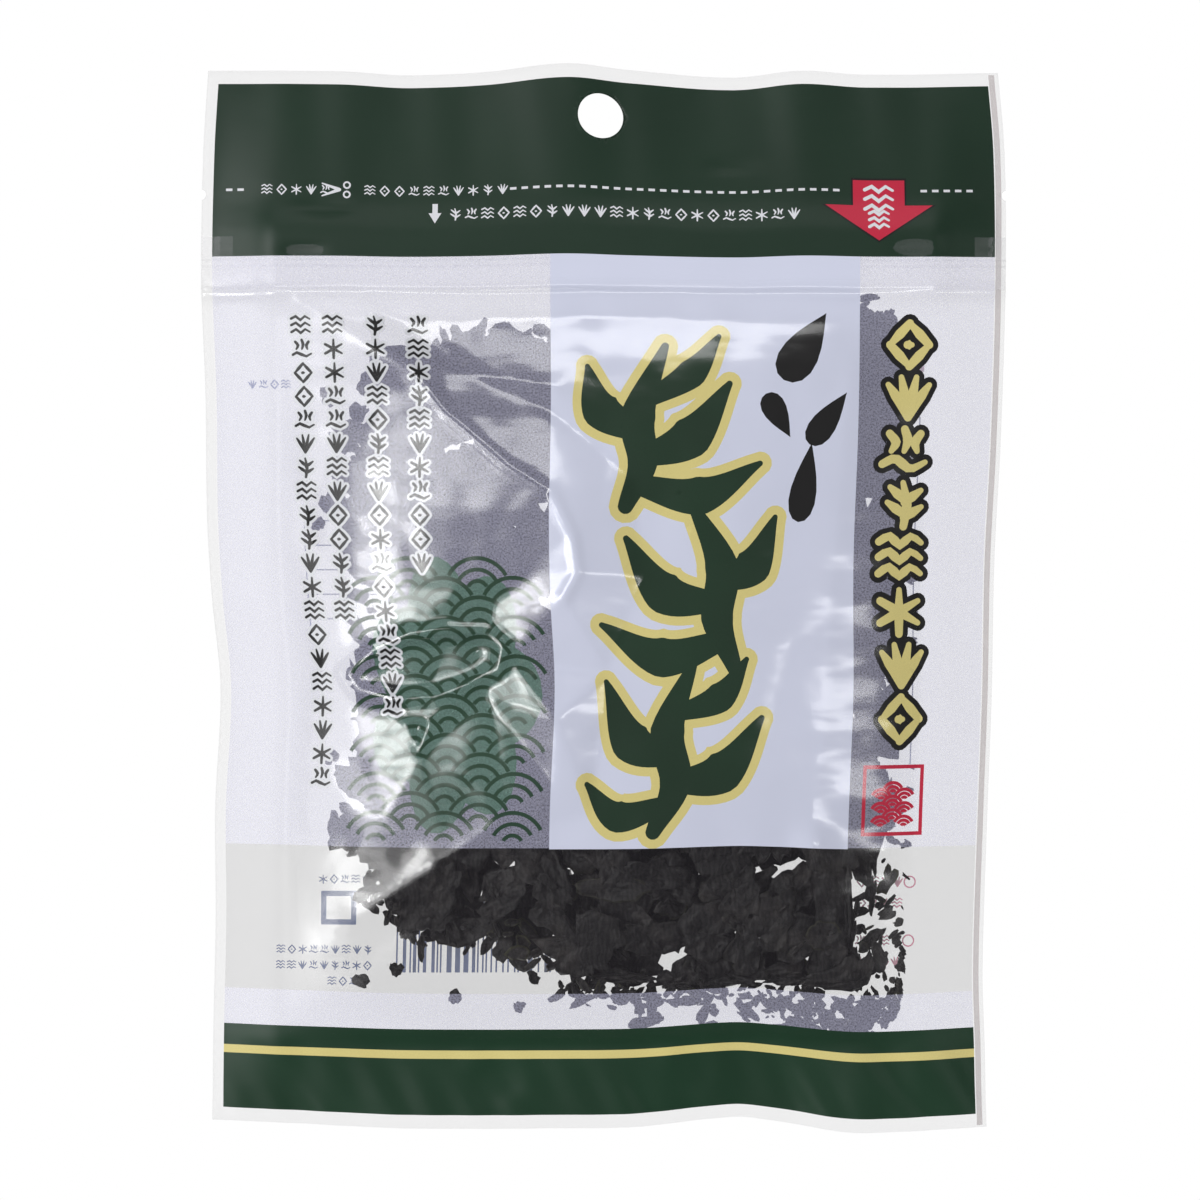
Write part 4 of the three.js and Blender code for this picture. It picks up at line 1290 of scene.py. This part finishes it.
bed = flakes_object("wakame_large_flakes", large_flakes(), 7, 36, 1.1, 101, 0.14, dark_leaf)
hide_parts("wakame_bed")
flakes_object("wakame_middle_flakes", random_flakes(320, (3.2, 6.5), (0.1, 0.93), 31, in_bed),
              5, 22, 0.8, 401, 0.14, dark_leaf)
flakes_object("wakame_small_flakes", random_flakes(320, (1.0, 3.0), (0.02, 0.99), 47, in_bed)
              + random_flakes(390, (0.7, 2.4), (0.05, 0.95), 53, by_edge)
              + random_flakes(34, (1.5, 3.6), (0.3, 0.7), 59, along_top), 3, 14, 0.4, 701, 0.14, dark_leaf)
flakes_object("wakame_crumbs", random_flakes(420, (0.3, 1.5), (0.1, 0.9), 61, at_foot),
              2, 8, 0.15, 977, 0.12, dark_leaf)


def loose_plans():
    """The plans of the flakes that lie apart, as in the part's source."""
    plans = []
    for index, (place, size, turn) in enumerate(LOOSE_FLAKES):
        plan = flake_plan(Draw(RANDOM_START + turn + index), *place, size)
        plan["level"] = 0.5
        plans.append(plan)
    return plans


loose = flakes_object("loose_flakes", loose_plans(), 5, 24, 0.3, 1201, 0.14, dark_leaf)
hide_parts(*[f"loose_flake_{k + 1}" for k in range(len(LOOSE_FLAKES))])


# The zip strips keep their solids and take a finish.


def zip_material():
    """Clear plastic with faint streaks along the tape."""
    made, tree, principled = new_material("zip_plastic", Roughness=0.25, IOR=1.5)
    coordinates = node(tree, "ShaderNodeTexCoord").outputs["Object"]
    streaks = node(tree, "ShaderNodeTexNoise", Scale=1.0, Detail=3.0)
    stretch = node(tree, "ShaderNodeMapping", Scale=(30.0, 900.0, 900.0))
    link(tree, coordinates, stretch.inputs[0])
    link(tree, stretch.outputs[0], streaks.inputs["Vector"])
    link(tree, ramp(tree, streaks.outputs[0], [(0.3, (0.75, 0.74, 0.78)), (0.7, (0.86, 0.85, 0.89))]),
         principled.inputs["Base Color"])
    link(tree, math_node(tree, "MULTIPLY_ADD", streaks.outputs[0], 0.06, 0.03), principled.inputs["Alpha"])
    return made


zip_finish = zip_material()
for name in ("zip_ridge_strip", "zip_groove_strip"):
    strip = bpy.data.objects[name]
    strip.data.materials.clear()
    strip.data.materials.append(zip_finish)


# Floor, lights and camera

ROOM_LIGHT, MIRRORED_ROOM = 0.44, 0.08


def floor():
    """A plain white floor that gives its own light, so that it shows no shade and no stain of colour."""
    reach = 4.0
    corners = np.array([(-reach, -reach, 0), (reach, -reach, 0), (reach, reach, 0), (-reach, reach, 0)])
    made, _, _ = new_material(
        "pale_floor", Base_Color=(0, 0, 0, 1), Roughness=1.0, Specular_IOR_Level=0.0,
        Emission_Color=(1, 1, 1, 1), Emission_Strength=1.0,
    )
    made.cycles.emission_sampling = "NONE"
    plane = mesh_object("floor", corners, np.array([(0, 1, 2, 3)]), [made])


def soft_light(name, tilt, turn, distance, width, height, radiance):
    """A soft light that faces the pouch, tilt degrees from straight above, towards turn."""
    a, b = math.radians(tilt), math.radians(turn)
    data = bpy.data.lights.new(name, "AREA")
    data.shape = "RECTANGLE"
    data.size, data.size_y = width, height
    data.energy = radiance * math.pi * width * height
    made = bpy.data.objects.new(name, data)
    towards = Vector((math.sin(a) * math.cos(b), math.sin(a) * math.sin(b), math.cos(a)))
    made.location = towards * distance
    made.rotation_euler = towards.to_track_quat("Z", "Y").to_euler()
    bpy.context.scene.collection.objects.link(made)


def world():
    """Even light from all round on matt surfaces, of which the glossy film mirrors only a little."""
    made = bpy.data.worlds.new("studio")
    made.use_nodes = True
    tree = made.node_tree
    mirrored = node(tree, "ShaderNodeLightPath").outputs["Is Glossy Ray"]
    link(tree, math_node(tree, "MULTIPLY_ADD", mirrored, MIRRORED_ROOM - ROOM_LIGHT, ROOM_LIGHT),
         tree.nodes["Background"].inputs["Strength"])
    tree.nodes["Background"].inputs["Color"].default_value = (1, 1, 1, 1)
    made.cycles.sampling_method = "NONE"
    bpy.context.scene.world = made


def camera():
    """Straight above, with the photo's whole width of 223 mm across the frame."""
    data = bpy.data.cameras.new("camera")
    frame_width, distance, middle_height = 223.2 * MM, 1.2, 6 * MM
    data.sensor_width = 36
    data.lens = data.sensor_width * (distance - middle_height) / frame_width
    made = bpy.data.objects.new("camera", data)
    made.location = (-0.65 * MM, -0.37 * MM, distance)
    bpy.context.scene.collection.objects.link(made)
    bpy.context.scene.camera = made


LAMPS = [  # name, tilt, turn, distance, width, height and radiance
    ("key", 38, 185, 1.2, 0.58, 0.4, 2.6),
    ("key_core", 38, 189, 1.15, 0.12, 0.26, 6.0),
    ("key_halo", 42, 186, 1.3, 1.0, 1.0, 0.8),
    ("haze", 27, 152, 1.2, 0.22, 0.3, 2.2),
    ("haze_halo", 28, 154, 1.25, 0.42, 0.48, 1.3),
    ("apex", 35, 169, 1.15, 0.14, 0.14, 4.5),
    ("top", 44, 88, 1.3, 0.6, 0.22, 3.2),
    ("fill", 38, -6, 1.3, 0.1, 0.6, 4.0),
]

floor()
for lamp in LAMPS:
    soft_light(*lamp)
world()
camera()
scene = bpy.context.scene
scene.view_settings.view_transform = "Standard"
scene.cycles.transparent_max_bounces = 32
scene.cycles.max_bounces = 2
scene.cycles.diffuse_bounces = 1
scene.cycles.glossy_bounces = 1
